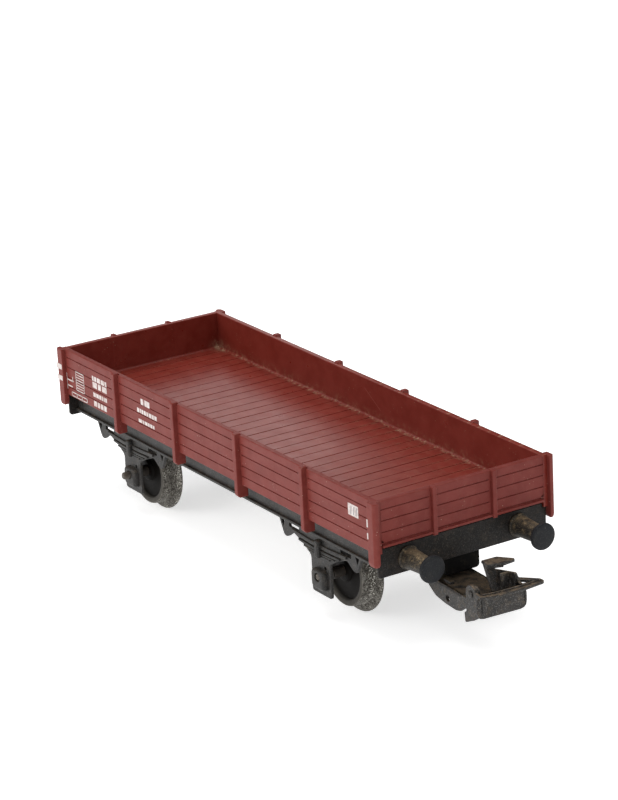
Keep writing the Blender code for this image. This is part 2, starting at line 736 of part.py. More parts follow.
def make_axle(name, axle_x, shift, material):
    """Make one axle, with a thinner journal at each end."""
    half = AXLE_LENGTH / 2
    shoulder = half - JOURNAL_LENGTH
    chamfer = 0.2 * MM
    profile = [
        (half, 0.0),
        (half, JOURNAL_RADIUS - chamfer),
        (half - chamfer, JOURNAL_RADIUS),
        (shoulder, JOURNAL_RADIUS),
        (shoulder, AXLE_RADIUS),
    ]
    profile += [(-at, radius) for at, radius in reversed(profile)]
    axle = add_turned(name, profile, "Y", (axle_x, shift, AXLE_Z), FACETS_WHEEL)
    return settle(axle, material, (axle_x, 0, AXLE_Z))


def bracket_bottom():
    """Return the height of the bracket's underside, just above the drawbar."""
    return DRAWBAR_TOP_Z + SIDE_GAP


def make_bracket(name, end, material):
    """Make the folded bracket that hangs a coupler below the frame, as a tube along X."""
    half = BRACKET_WIDTH / 2
    bottom = bracket_bottom()
    top = frame_top() - SHEET - SEAT_GAP
    back = FRAME_LENGTH / 2 - SHEET - 2 * SEAT_GAP - BRACKET_LENGTH
    front = back + BRACKET_LENGTH
    bracket = add_box(name, (back, -half, bottom), (front, half, top))
    hollow = add_box(
        "cutter",
        (back - SHEET, -half + SHEET, bottom + SHEET),
        (front + SHEET, half - SHEET, top - SHEET),
    )
    rivet = hole("Z", (PIVOT_X, 0, bottom), PIVOT_RADIUS + RUNNING_GAP, 4 * SHEET, FACETS_ROUND)
    cut(bracket, hollow, rivet)
    return settle(bracket, material, (PIVOT_X, 0, bottom), end)


def make_pivot_rivet(name, end, material):
    """Make the rivet that a drawbar swings on, with a head above and a longer shank below."""
    upper = bracket_bottom() + SHEET + SEAT_GAP
    lower = DRAWBAR_TOP_Z - SHEET - coil_height() - 3 * SIDE_GAP
    profile = [
        (lower - PIVOT_HEAD_HEIGHT, 0.0),
        (lower - PIVOT_HEAD_HEIGHT, PIVOT_HEAD_RADIUS - 0.2 * MM),
        (lower - PIVOT_HEAD_HEIGHT / 2, PIVOT_HEAD_RADIUS),
        (lower, PIVOT_HEAD_RADIUS),
        (lower, PIVOT_RADIUS),
        (upper, PIVOT_RADIUS),
        (upper, PIVOT_HEAD_RADIUS),
        (upper + PIVOT_HEAD_HEIGHT / 2, PIVOT_HEAD_RADIUS),
        (upper + PIVOT_HEAD_HEIGHT, PIVOT_HEAD_RADIUS - 0.2 * MM),
        (upper + PIVOT_HEAD_HEIGHT, 0.0),
    ]
    rivet = add_turned(name, profile, "Z", (PIVOT_X, 0, 0), FACETS_ROUND)
    return settle(rivet, material, (PIVOT_X, 0, lower), end)


def coil_height():
    """Return the height that the centring spring takes up on its rivet."""
    return SPRING_TURNS * SPRING_PITCH + 2 * SPRING_WIRE_RADIUS


def make_coil(name, end, material):
    """Make the wire spring round a drawbar's rivet: a helix with one straight arm."""
    start_z = DRAWBAR_TOP_Z - SHEET - SIDE_GAP - SPRING_WIRE_RADIUS
    steps = 10
    curve = bpy.data.curves.new(name, "CURVE")
    curve.dimensions = "3D"
    curve.bevel_depth = SPRING_WIRE_RADIUS
    curve.bevel_resolution = 1
    curve.use_fill_caps = True
    points = []
    for step in range(SPRING_TURNS * steps + 1):
        turn = step / steps
        x = PIVOT_X + SPRING_COIL_RADIUS * cos(tau * turn)
        y = SPRING_COIL_RADIUS * sin(tau * turn)
        points.append((x, y, start_z - SPRING_PITCH * turn))
    last = points[-1]
    arm = DRAWBAR_TAIL_WIDTH / 2 - SPRING_WIRE_RADIUS - SHEET
    points.append((last[0], last[1] + arm, last[2]))
    spline = curve.splines.new("POLY")
    spline.points.add(len(points) - 1)
    for spot, point in zip(spline.points, points):
        spot.co = (*point, 1.0)
    guide = bpy.data.objects.new("guide", curve)
    bpy.context.scene.collection.objects.link(guide)
    bpy.context.view_layer.update()
    evaluated = guide.evaluated_get(bpy.context.evaluated_depsgraph_get())
    mesh = bpy.data.meshes.new_from_object(evaluated)
    bpy.data.objects.remove(guide)
    coil = bpy.data.objects.new(name, mesh)
    bpy.context.scene.collection.objects.link(coil)
    return settle(coil, material, (PIVOT_X, 0, start_z), end, True)


def drawbar_side_outline():
    """Return a drawbar's side plate, with the raised ear that holds the bow."""
    bottom = DRAWBAR_TOP_Z - DRAWBAR_DEPTH
    back = DRAWBAR_BACK_X
    ear = (BOW_PIN_X, BOW_PIN_Z)
    ear_radius = EAR_RADIUS - 0.2 * MM
    outline = [
        (back, DRAWBAR_TOP_Z),
        (back, DRAWBAR_TOP_Z - 0.45 * DRAWBAR_DEPTH),
        (back + 2.2 * MM, bottom + 0.5 * MM),
        (back + 5.0 * MM, bottom + 0.1 * MM),
        (DRAWBAR_PLATE_X - 3.0 * MM, bottom),
        (DRAWBAR_PLATE_X - 1.6 * MM, bottom + 0.3 * MM),
        (DRAWBAR_PLATE_X, bottom + 1.4 * MM),
        (BOW_PIN_X + 0.3 * MM, bottom + 1.8 * MM),
        (BOW_PIN_X + ear_radius, DRAWBAR_TOP_Z),
    ]
    outline += arc(ear, ear_radius, 0, 180, 10)
    return outline + [(BOW_PIN_X - ear_radius - 0.3 * MM, DRAWBAR_TOP_Z)]


def drawbar_top_outline():
    """Return a drawbar's top plate, with its narrow tail round the pivot."""
    half = DRAWBAR_WIDTH / 2
    tail = DRAWBAR_TAIL_WIDTH / 2
    rim = arc((PIVOT_X, 0), tail, 90, 270, 10)
    front = [
        (DRAWBAR_BACK_X - 1.0 * MM, -tail),
        (DRAWBAR_BACK_X, -half + 0.01 * MM),
        (DRAWBAR_PLATE_X - 1.1 * MM, -half + 0.01 * MM),
        (DRAWBAR_PLATE_X - 0.6 * MM, -HOOK_WIDTH),
        (BOW_PIN_X - 0.2 * MM, -HOOK_WIDTH),
    ]
    return rim + front + [(x, -y) for x, y in reversed(front)]


def make_drawbar(name, end, material):
    """Make a drawbar, folded from sheet: a top plate and two side plates with ears."""
    half = DRAWBAR_WIDTH / 2
    low = DRAWBAR_TOP_Z - SHEET
    bar = add_prism(name, drawbar_top_outline(), "Z", low, DRAWBAR_TOP_Z - 0.01 * MM)
    for sign in (-1, 1):
        start, stop = sorted((sign * half, sign * (half - SHEET)))
        join(bar, add_prism("side", drawbar_side_outline(), "Y", start, stop))
    hole_z = DRAWBAR_TOP_Z - 0.62 * DRAWBAR_DEPTH
    cut(bar, hole("Y", (DRAWBAR_HOLE_X, 0, hole_z), DRAWBAR_HOLE_RADIUS, 2 * DRAWBAR_WIDTH))
    pin = BOW_PIN_RADIUS + SEAT_GAP
    cut(bar, hole("Y", (BOW_PIN_X, 0, BOW_PIN_Z), pin, 2 * DRAWBAR_WIDTH))
    pivot = hole("Z", (PIVOT_X, 0, low), PIVOT_RADIUS + RUNNING_GAP, 4 * SHEET, FACETS_ROUND)
    slot_x = DRAWBAR_BACK_X + 3.7 * MM
    slot = add_box(
        "cutter",
        (slot_x, -half + 0.7 * MM, low - SHEET),
        (slot_x + 2.0 * MM, -half + 1.5 * MM, DRAWBAR_TOP_Z + SHEET),
    )
    cut(bar, pivot, slot)
    return settle(bar, material, (PIVOT_X, 0, DRAWBAR_TOP_Z), end, True)


def make_hook(name, end, material):
    """Make a hook: a foot on the drawbar, a bar that leans back and a turned-over flag."""
    half = HOOK_WIDTH / 2
    foot = DRAWBAR_TOP_Z + SEAT_GAP
    front = BOW_PIN_X - EAR_RADIUS + 0.2 * MM
    top = front - HOOK_LEAN
    thick = SHEET
    outline = [
        (front - HOOK_FOOT, foot),
        (front, foot),
        (top + thick, HOOK_TOP_Z + thick),
        (top, HOOK_TOP_Z + thick),
        (front - 1.4 * thick, foot + thick),
        (front - HOOK_FOOT, foot + thick),
    ]
    hook = add_prism(name, outline, "Y", -half, half)
    flag = [
        (top + 0.02 * MM, -half - 0.01 * MM),
        (top + FLAG_TURN, -half - 0.01 * MM),
        (top + FLAG_LENGTH, FLAG_WIDTH - 1.5 * half),
        (top + FLAG_LENGTH - 0.4 * MM, FLAG_WIDTH + half),
        (top + FLAG_TURN, FLAG_WIDTH + 1.4 * half),
        (top + 0.02 * MM, FLAG_WIDTH - half),
    ]
    join(hook, add_prism("flag", flag, "Z", HOOK_TOP_Z, HOOK_TOP_Z + thick - 0.01 * MM))
    return settle(hook, material, (front, 0, foot), end, True)


def bow_ear_outline():
    """Return one side plate of a bow: a round ear, a front edge and a foot below."""
    pin = (BOW_PIN_X, BOW_PIN_Z)
    front = BOW_PIN_X + BOW_REACH
    back = BOW_PIN_X - EAR_RADIUS
    rise = 0.45 * MM
    outline = [(front, BOW_PIN_Z + rise), (front, BOW_PIN_Z - BOW_DROP)]
    outline += [
        (BOW_PIN_X + 0.5 * MM, BOW_PIN_Z - BOW_DROP - 0.4 * MM),
        (BOW_PIN_X - 0.4 * MM, BOW_PIN_Z - BOW_FOOT_DROP),
        (back + 0.3 * MM, BOW_PIN_Z - BOW_FOOT_DROP + 0.5 * MM),
        (back, BOW_PIN_Z - BOW_FOOT_DROP + 1.5 * MM),
    ]
    return outline + arc(pin, EAR_RADIUS, 180, 15, 11)


def bow_bar_outline():
    """Return the bow's top bar seen from above, drawn out to a horn on one side."""
    front = BOW_PIN_X + BOW_REACH
    half = bow_half_width()
    bulge = front + BOW_BAR_DEPTH
    return [
        (front - 0.6 * MM, -half + 0.02 * MM),
        (front + 0.1 * MM, -half + 0.02 * MM),
        (bulge - 0.2 * MM, -half + 1.6 * MM),
        (bulge, -half + 3.0 * MM),
        (bulge, half - 0.6 * MM),
        (front + 0.35 * MM, half + BOW_HORN - 0.3 * MM),
        (front - 0.2 * MM, half + BOW_HORN),
        (front - 0.8 * MM, half + BOW_HORN - 0.3 * MM),
        (front - 1.9 * MM, half + 0.4 * MM),
        (front - 1.9 * MM, half - SHEET + 0.02 * MM),
        (front - 0.6 * MM, half - SHEET + 0.02 * MM),
    ]


def bow_half_width():
    """Return half of a bow's width, over its side plates."""
    return DRAWBAR_WIDTH / 2 + SIDE_GAP + SHEET


def make_bow(name, end, material):
    """Make a bow, folded from sheet: a front plate, two side plates and a bar with a horn."""
    half = bow_half_width()
    front = BOW_PIN_X + BOW_REACH
    bottom = BOW_PIN_Z - BOW_DROP
    top = BOW_PIN_Z + 0.45 * MM
    chamfer = 0.9 * MM
    plate = [
        (-half + chamfer, bottom + 0.01 * MM),
        (half - chamfer, bottom + 0.01 * MM),
        (half - 0.01 * MM, bottom + chamfer),
        (half - 0.01 * MM, top - 0.01 * MM),
        (-half + 0.01 * MM, top - 0.01 * MM),
        (-half + 0.01 * MM, bottom + chamfer),
    ]
    bow = add_prism(name, plate, "X", front - SHEET, front - 0.01 * MM)
    ear = bow_ear_outline()
    for sign in (-1, 1):
        start, stop = sorted((sign * half, sign * (half - SHEET)))
        join(bow, add_prism("ear", ear, "Y", start, stop))
    bar_low = top - 0.02 * MM - SHEET
    join(bow, add_prism("bar", bow_bar_outline(), "Z", bar_low, top - 0.02 * MM))
    gap = [
        (front + 0.15 * MM, half + 0.5 * MM),
        (front - 0.15 * MM, half + BOW_HORN - 1.3 * MM),
        (front - 1.0 * MM, half + 0.7 * MM),
    ]
    cut(bow, add_prism("cutter", gap, "Z", bar_low - SHEET, top + SHEET))
    cut(bow, hole("Y", (BOW_PIN_X, 0, BOW_PIN_Z), BOW_PIN_RADIUS + RUNNING_GAP, 4 * half))
    slot_z = BOW_PIN_Z - BOW_DROP + 0.6 * MM
    slot = add_box(
        "cutter",
        (BOW_PIN_X - 0.5 * MM, -half - SHEET, slot_z),
        (BOW_PIN_X + 1.0 * MM, -half + 2 * SHEET, slot_z + 0.5 * MM),
    )
    cut(bow, slot)
    return settle(bow, material, (BOW_PIN_X, 0, BOW_PIN_Z), end, True)


def make_bow_rivet(name, end, sign, material):
    """Make one of the two short rivets that a bow turns on."""
    inner = DRAWBAR_WIDTH / 2 - SHEET - SEAT_GAP
    outer = bow_half_width() + SEAT_GAP
    profile = [
        (inner - BOW_RIVET_HEAD, 0.0),
        (inner - BOW_RIVET_HEAD, BOW_RIVET_HEAD_RADIUS - 0.1 * MM),
        (inner, BOW_RIVET_HEAD_RADIUS),
        (inner, BOW_PIN_RADIUS),
        (outer, BOW_PIN_RADIUS),
        (outer, BOW_RIVET_HEAD_RADIUS),
        (outer + BOW_RIVET_HEAD, BOW_RIVET_HEAD_RADIUS - 0.15 * MM),
        (outer + BOW_RIVET_HEAD, 0.0),
    ]
    profile = [(sign * at, radius) for at, radius in profile]
    rivet = add_turned(name, profile, "Y", (BOW_PIN_X, 0, BOW_PIN_Z), FACETS_SMALL)
    return settle(rivet, material, (BOW_PIN_X, 0, BOW_PIN_Z), end, True)


def make_coupler(place, end, steel):
    """Make every piece of one coupler."""
    make_bracket(f"coupler_bracket_{place}", end, steel)
    make_pivot_rivet(f"coupler_pivot_rivet_{place}", end, steel)
    make_coil(f"coupler_spring_{place}", end, steel)
    make_drawbar(f"drawbar_{place}", end, steel)
    make_hook(f"coupler_hook_{place}", end, steel)
    make_bow(f"coupler_bow_{place}", end, steel)
    make_bow_rivet(f"bow_rivet_{place}_a", end, -1, steel)
    make_bow_rivet(f"bow_rivet_{place}_b", end, 1, steel)


def make_wheelset(place, end, steel, wheel_metal):
    """Make one axle and its two wheels, lying to one side by the axle's play."""
    axle_x = end * WHEELBASE / 2
    shift = FRONT_AXLE_SHIFT if end > 0 else REAR_AXLE_SHIFT
    make_axle(f"axle_{place}", axle_x, shift, steel)
    make_wheel(f"wheel_{place}_right", axle_x, shift, -1, wheel_metal)
    make_wheel(f"wheel_{place}_left", axle_x, shift, 1, wheel_metal)


def build():
    """Build the whole wagon."""
    clear_scene()
    red = finish("body_red", (0.26, 0.055, 0.042), 0.45, 0.0)
    black = finish("frame_black", (0.032, 0.032, 0.031), 0.55, 0.3)
    plastic = finish("buffer_black", (0.030, 0.031, 0.034), 0.5, 0.0)
    coupler = finish("coupler_steel", (0.060, 0.052, 0.047), 0.5, 0.7)
    steel = finish("plain_steel", (0.35, 0.34, 0.32), 0.4, 1.0)
    wheel_metal = finish("wheel_metal", (0.17, 0.155, 0.14), 0.5, 0.8)
    make_body(red)
    make_underframe(black)
    make_ballast(steel)
    for place, end in (("front", 1), ("rear", -1)):
        make_screw(f"body_screw_{place}", end, steel)
        make_buffer(f"buffer_{place}_a", end, -1, plastic)
        make_buffer(f"buffer_{place}_b", end, 1, plastic)
        make_wheelset(place, end, steel, wheel_metal)
        make_coupler(place, end, coupler)


build()
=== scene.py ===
"""Low-sided open goods wagon in 1:87 scale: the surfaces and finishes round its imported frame.

The wagon runs along X with its front coupler at +X, and its lettered side faces -Y. Every class
is one sub-assembly. Its fields are sizes in millimetres, and its methods work out the surfaces
with numpy, in metres, and dress them.
"""
import logging
from dataclasses import dataclass, field
from enum import Enum
from math import cos, pi, radians, sin
from typing import Any, Sequence

import bmesh
import bpy
import numpy as np
from mathutils import Matrix, Vector
from numpy.typing import NDArray


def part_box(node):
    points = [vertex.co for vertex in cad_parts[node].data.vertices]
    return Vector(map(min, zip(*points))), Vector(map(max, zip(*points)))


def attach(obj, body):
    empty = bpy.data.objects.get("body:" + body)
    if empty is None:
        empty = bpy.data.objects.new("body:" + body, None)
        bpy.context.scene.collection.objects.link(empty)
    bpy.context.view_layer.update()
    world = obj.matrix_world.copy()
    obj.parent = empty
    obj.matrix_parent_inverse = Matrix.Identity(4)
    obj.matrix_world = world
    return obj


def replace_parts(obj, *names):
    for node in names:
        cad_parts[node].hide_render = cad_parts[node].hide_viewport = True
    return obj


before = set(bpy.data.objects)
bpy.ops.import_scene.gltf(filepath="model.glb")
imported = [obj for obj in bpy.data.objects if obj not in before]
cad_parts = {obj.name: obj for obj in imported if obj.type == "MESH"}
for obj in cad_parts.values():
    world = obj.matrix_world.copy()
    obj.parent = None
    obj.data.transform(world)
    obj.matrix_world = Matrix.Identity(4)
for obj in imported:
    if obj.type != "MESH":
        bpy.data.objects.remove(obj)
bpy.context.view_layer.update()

Array = NDArray[np.float64]
Colour = tuple[float, float, float]

MM = 0.001
SMOOTH_ANGLE = radians(40)
ARC_STEPS = 4
log = logging.getLogger("wagon")


class Axis(Enum):
    """The axis that an outline is carried along, with the order of its three coordinates."""

    X = (2, 0, 1)
    Y = (0, 2, 1)
    Z = (0, 1, 2)


# ---------------------------------------------------------------- shader expressions


class Value:
    """A node's output, on which Python's operators add Math nodes."""

    def __init__(self, graph: "Graph", socket: bpy.types.NodeSocket) -> None:
        """Keep the graph and the socket."""
        self.graph = graph
        self.socket = socket

    def _math(self, operation: str, *values: Any) -> "Value":
        """Return a Math node's output.

        Args:
            operation: The Math node's operation.
            values: The numbers or values on its inputs, in order.

        Returns:
            The node's output.
        """
        inputs = dict(enumerate(values))
        return self.graph.node("ShaderNodeMath", {"operation": operation}, inputs)

    def __add__(self, other: Any) -> "Value":
        """Return the sum."""
        return self._math("ADD", self, other)

    def __radd__(self, other: Any) -> "Value":
        """Return the sum, the other way round."""
        return self._math("ADD", other, self)

    def __sub__(self, other: Any) -> "Value":
        """Return the difference."""
        return self._math("SUBTRACT", self, other)

    def __rsub__(self, other: Any) -> "Value":
        """Return the difference, the other way round."""
        return self._math("SUBTRACT", other, self)

    def __mul__(self, other: Any) -> "Value":
        """Return the product."""
        return self._math("MULTIPLY", self, other)

    def __rmul__(self, other: Any) -> "Value":
        """Return the product, the other way round."""
        return self._math("MULTIPLY", other, self)

    def __truediv__(self, other: Any) -> "Value":
        """Return the quotient."""
        return self._math("DIVIDE", self, other)

    def __abs__(self) -> "Value":
        """Return the size without its sign."""
        return self._math("ABSOLUTE", self)

    def root(self) -> "Value":
        """Return the square root."""
        return self._math("SQRT", self)

    def bounce(self, most: float) -> "Value":
        """Return the value folded back and forth between 0 and the most."""
        return self._math("PINGPONG", self, most)

    def step(self, low: float, high: float) -> "Value":
        """Return a smooth step.

        Args:
            low: The value where the result is 0.
            high: The value where the result is 1; it may be below low.

        Returns:
            3t^2 - 2t^3, where t runs from 0 at low to 1 at high.
        """
        inputs = {"Value": self, "From Min": low, "From Max": high}
        return self.graph.node("ShaderNodeMapRange", {"interpolation_type": "SMOOTHSTEP"}, inputs)


class Graph:
    """The nodes of one material."""

    def __init__(self, name: str) -> None:
        """Start a material with one Principled shader.

        Args:
            name: The material's name.
        """
        self.material = bpy.data.materials.new(name)
        self.material.use_nodes = True
        self.tree = self.material.node_tree
        self.shader = self.tree.nodes["Principled BSDF"]

    def feed(self, socket: bpy.types.NodeSocket, value: Any) -> None:
        """Put a number or a colour on a socket, or link a value to it."""
        if isinstance(value, Value):
            self.tree.links.new(value.socket, socket)
        elif isinstance(value, tuple) and socket.type == "RGBA":
            socket.default_value = (*value, 1.0)
        else:
            socket.default_value = value

    def node(
        self, kind: str, settings: dict[str, Any], inputs: dict[Any, Any], output: Any = 0
    ) -> Value:
        """Add any node.

        Args:
            kind: The node's type.
            settings: The node's own properties, which are set first.
            inputs: What is on its sockets, by name or number.
            output: The name or number of the output that is wanted.

        Returns:
            That output.
        """
        made = self.tree.nodes.new(kind)
        for key, value in settings.items():
            setattr(made, key, value)
        for key, value in inputs.items():
            self.feed(made.inputs[key], value)
        return Value(self, made.outputs[output])

    def noise(self, where: Value, scale: float, detail: float = 3.0, spread: float = 0.5) -> Value:
        """Return cloud noise from 0 to 1.

        Args:
            where: The coordinates.
            scale: Clouds to the metre.
            detail: How many finer layers it has.
            spread: How strong each finer layer is.

        Returns:
            The noise.
        """
        inputs = {"Vector": where, "Scale": scale, "Detail": detail, "Roughness": spread}
        return self.node("ShaderNodeTexNoise", {}, inputs)

    def specks(self, where: Value, scale: float) -> Value:
        """Return the distance to the nearest of many scattered points, from 0 to about 1."""
        inputs = {"Vector": where, "Scale": scale}
        return self.node("ShaderNodeTexVoronoi", {}, inputs)

    def mix(self, factor: Any, first: Any, second: Any) -> Value:
        """Mix two colours.

        Args:
            factor: 0 gives the first colour and 1 the second.
            first: The first colour.
            second: The second colour.

        Returns:
            The mixed colour.
        """
        inputs = {0: factor, 6: first, 7: second}
        return self.node("ShaderNodeMix", {"data_type": "RGBA"}, inputs, 2)

    def split(self, vector: Value) -> tuple[Value, Value, Value]:
        """Return a vector's three parts."""
        parts = [self.node("ShaderNodeSeparateXYZ", {}, {0: vector}, key) for key in range(3)]
        return parts[0], parts[1], parts[2]


@dataclass(frozen=True)
class Finish:
    """A dusty, slightly worn surface: blotches, flecks, dust that settles, grain and worn edges."""

    name: str
    slot: str
    base: Colour
    deep: Colour
    dust: Colour
    worn: Colour
    dusty: float = 0.3
    flecks: float = 0.3
    wear: float = 0.5
    roughness: float = 0.45
    metallic: float = 0.0
    grain: float = 5200.0
    bump: float = 0.25
    blotch: float = 300.0
    gloss: float = 0.5
    glint: float = 0.0
    layer: float = 0.0

    def colour(self, graph: Graph, where: Value, up: Value, edge: bool) -> tuple[Value, Value]:
        """Return the colour and a mask of where the surface is dull.

        Args:
            graph: The material's nodes.
            where: Object coordinates.
            up: How far the surface faces up, from -1 to 1.
            edge: Whether this is the variant for edges, which are worn.

        Returns:
            The colour, and the dust's mask.
        """
        clouds = graph.noise(where, self.blotch, 5.0, 0.6).step(0.35, 0.68)
        colour = graph.mix(clouds, self.base, self.deep)
        settled = graph.noise(where, 900.0, 4.0, 0.62).step(0.46, 0.72) * up.step(-0.7, 1.0)
        crumbs = graph.noise(where, 3400.0, 3.0, 0.7).step(0.50, 0.62)
        dull = (settled * 0.55 + crumbs * settled) * self.dusty
        colour = graph.mix(dull, colour, self.dust)
        if self.glint:
            grit = graph.noise(where, 4300.0, 3.0, 0.75)
            colour = graph.mix(grit.step(0.52, 0.62) * self.glint, colour, self.worn)
            colour = graph.mix(grit.step(0.47, 0.38) * self.glint * 1.6, colour, self.deep)
        if self.layer:
            lying = graph.noise(where, 620.0, 4.0, 0.65).step(0.34, 0.62) * up.step(0.55, 0.95)
            gritty = graph.noise(where, 3900.0, 3.0, 0.75).step(0.40, 0.60) * 0.6 + 0.4
            colour = graph.mix(lying * gritty * self.layer, colour, self.dust)
        fleck = graph.specks(where, 1500.0).step(0.16, 0.06)
        fleck = fleck * graph.noise(where, 420.0).step(0.52, 0.62) * self.flecks
        colour = graph.mix(fleck, colour, self.dust)
        if edge:
            rubbed = graph.noise(where, 1300.0, 4.0, 0.65).step(0.62 - 0.3 * self.wear, 0.72)
            colour = graph.mix(rubbed * self.wear, colour, self.worn)
        return colour, dull

    def build(self, edge: bool) -> bpy.types.Material:
        """Make the material.

        Args:
            edge: Whether this is the variant for edges, which are worn.

        Returns:
            The material.
        """
        graph = Graph(self.name + ("_edge" if edge else ""))
        where = graph.node("ShaderNodeTexCoord", {}, {}, "Object")
        facing = graph.node("ShaderNodeTexCoord", {}, {}, "Normal")
        colour, dull = self.colour(graph, where, graph.split(facing)[2], edge)
        grain = graph.noise(where, self.grain, 4.0, 0.6)
        sheen = graph.noise(where, 1.3 * self.blotch, 3.0) * 0.22 - 0.11
        height = grain + graph.noise(where, 0.16 * self.grain, 3.0) * 0.8
        bump = {"Strength": self.bump, "Distance": 0.03 * MM, "Height": height}
        graph.feed(graph.shader.inputs["Specular IOR Level"], self.gloss)
        graph.feed(graph.shader.inputs["Base Color"], colour)
        graph.feed(graph.shader.inputs["Roughness"], sheen + dull * 0.3 + self.roughness)
        graph.feed(graph.shader.inputs["Metallic"], self.metallic - dull * self.metallic)
        graph.feed(graph.shader.inputs["Normal"], graph.node("ShaderNodeBump", {}, bump))
        return graph.material

    def dress(self, piece: bpy.types.Object) -> None:
        """Put the plain variant and the worn one into a piece's two material slots."""
        kept = [bpy.data.materials.get(self.name), bpy.data.materials.get(self.name + "_edge")]
        plain = kept[0] or self.build(False)
        worn = kept[1] or self.build(True)
        piece.data.materials.clear()
        piece.data.materials.append(plain)
        piece.data.materials.append(worn)


@dataclass(frozen=True)
class FloorFinish(Finish):
    """The inside of the body: dust in one far corner and along the far side, and a pale film that is partly
    dust and partly painted sheen.

    The dust's places, the planks' pitch and the scratch on the far wall are in millimetres.
    """

    corner: tuple[float, float] = (-49.8, 15.6)
    far_y: float = 15.2
    pitch: float = 2.88
    joint: float = 1.44
    # The pale film's strength and colour: partly dust, partly a painted reflection of the sheen.
    dust_film_and_sheen: float = 0.15
    film_and_sheen_colour: Colour = (0.42, 0.15, 0.12)
    scratch_x: float = 2.0
    scratch_z: float = 23.4
    scratch_slope: float = 0.62

    def colour(self, graph: Graph, where: Value, up: Value, edge: bool) -> tuple[Value, Value]:
        """Return the plain colour under dust, streaks at the joints, the pale film of dust and painted sheen,
        and the scratch.
        """
        colour, dull = super().colour(graph, where, up, edge)
        x, y, z = graph.split(where)
        along = x - self.corner[0] * MM
        across = y - self.corner[1] * MM
        apart = (along * along * 0.25 + across * across).root()
        cloud = graph.noise(where, 1100.0, 5.0, 0.68)
        low = z.step(22.2 * MM, 20.3 * MM)
        corner = apart.step(2.6 * MM, 0.0) * cloud.step(0.36, 0.66) * low
        line = abs(y - self.far_y * MM).step(0.7 * MM, 0.0) * cloud.step(0.46, 0.68) * low * 0.7
        near = abs(y + self.far_y * MM).step(0.5 * MM, 0.0) * cloud.step(0.55, 0.75) * 0.4
        colour = graph.mix(corner * 0.75, colour, self.dust)
        colour = graph.mix(line, colour, self.dust)
        colour = graph.mix(near, colour, self.dust)
        joint = (x - self.joint * MM).bounce(self.pitch * MM / 2)
        edge_of_plank = joint.step(0.32 * MM, 0.12 * MM) * cloud.step(0.40, 0.66)
        flat = up.step(0.3, 0.9)
        streak = edge_of_plank * y.step(5.0 * MM, 14.0 * MM) * x.step(-12.0 * MM, 8.0 * MM) * flat
        colour = graph.mix(streak * 0.5, colour, self.dust)
        # Pale film over the near left of the floor: partly dust, partly painted sheen that stands in for a
        # reflection.
        dust_film_and_sheen = graph.noise(where, 120.0, 4.0, 0.6).step(0.25, 0.75) * 0.5 + 0.6
        dust_film_and_sheen = dust_film_and_sheen * y.step(15.0 * MM, -2.0 * MM) * x.step(-46.0 * MM, -12.0 * MM) * flat
        colour = graph.mix(dust_film_and_sheen * self.dust_film_and_sheen, colour, self.film_and_sheen_colour)
        beside = x - self.scratch_x * MM
        scratch = abs(z + beside * self.scratch_slope - self.scratch_z * MM).step(0.10 * MM, 0.03 * MM)
        on_wall = y.step(self.far_y * MM, (self.far_y + 0.2) * MM)
        scratch = scratch * abs(beside).step(2.6 * MM, 2.2 * MM) * on_wall
        colour = graph.mix(scratch * 0.55, colour, self.worn)
        return colour, dull + corner


@dataclass(frozen=True)
class TreadFinish(Finish):
    """A cast wheel: a speckled tread, a bright band by the flange and a dish set near black, as painted shade
    in its recess.
    """

    centre: tuple[float, float] = (0.0, 0.0)
    dish: float = 5.0
    tread: float = 6.0
    band: tuple[float, float] = (8.3, 9.5)
    bright: Colour = (0.60, 0.58, 0.52)
    dark: Colour = (0.030, 0.026, 0.022)
    # Near-black colour of the dished recess: painted shade.
    dish_shade: Colour = (0.0035, 0.0025, 0.0018)

    def colour(self, graph: Graph, where: Value, up: Value, edge: bool) -> tuple[Value, Value]:
        """Return the colour by the distance from the axle's middle line."""
        colour, dull = super().colour(graph, where, up, edge)
        x, y, z = graph.split(where)
        across = x - self.centre[0] * MM
        above = z - self.centre[1] * MM
        radius = (across * across + above * above).root()
        pits = graph.noise(where, 3300.0, 4.0, 0.75)
        spots = graph.specks(where, 3400.0)
        first, last = self.band
        band = abs(y).step(last * MM, (last - 0.5) * MM) * abs(y).step((first - 0.3) * MM, first * MM)
        on_tread = radius.step((self.tread - 0.25) * MM, (self.tread - 0.05) * MM)
        on_dish = radius.step(self.dish * MM, (self.dish - 0.3) * MM)
        on_face = radius.step((self.tread - 0.05) * MM, (self.tread - 0.35) * MM)
        colour = graph.mix(on_face * 0.72, colour, self.dark)
        colour = graph.mix(pits.step(0.44, 0.56) * on_tread * 0.92, colour, self.dark)
        glints = spots.step(0.40, 0.20) * (band * 0.9 + graph.noise(where, 900.0, 2.0).step(0.46, 0.62) * 0.6)
        colour = graph.mix(glints * on_tread, colour, self.bright)
        # Painted shade: the dished recess is set near black.
        colour = graph.mix(on_dish * 0.96, colour, self.dish_shade)
        if edge:
            colour = graph.mix(pits.step(0.34, 0.52) * 0.85, colour, self.bright)
        return colour, dull


RED = Finish(
    "red_body", "body_red", (0.186, 0.036, 0.029), (0.160, 0.028, 0.022), (0.48, 0.30, 0.24),
    (0.46, 0.21, 0.18), dusty=0.09, flecks=0.7, wear=0.85, roughness=0.45, bump=0.14, gloss=0.14,
)
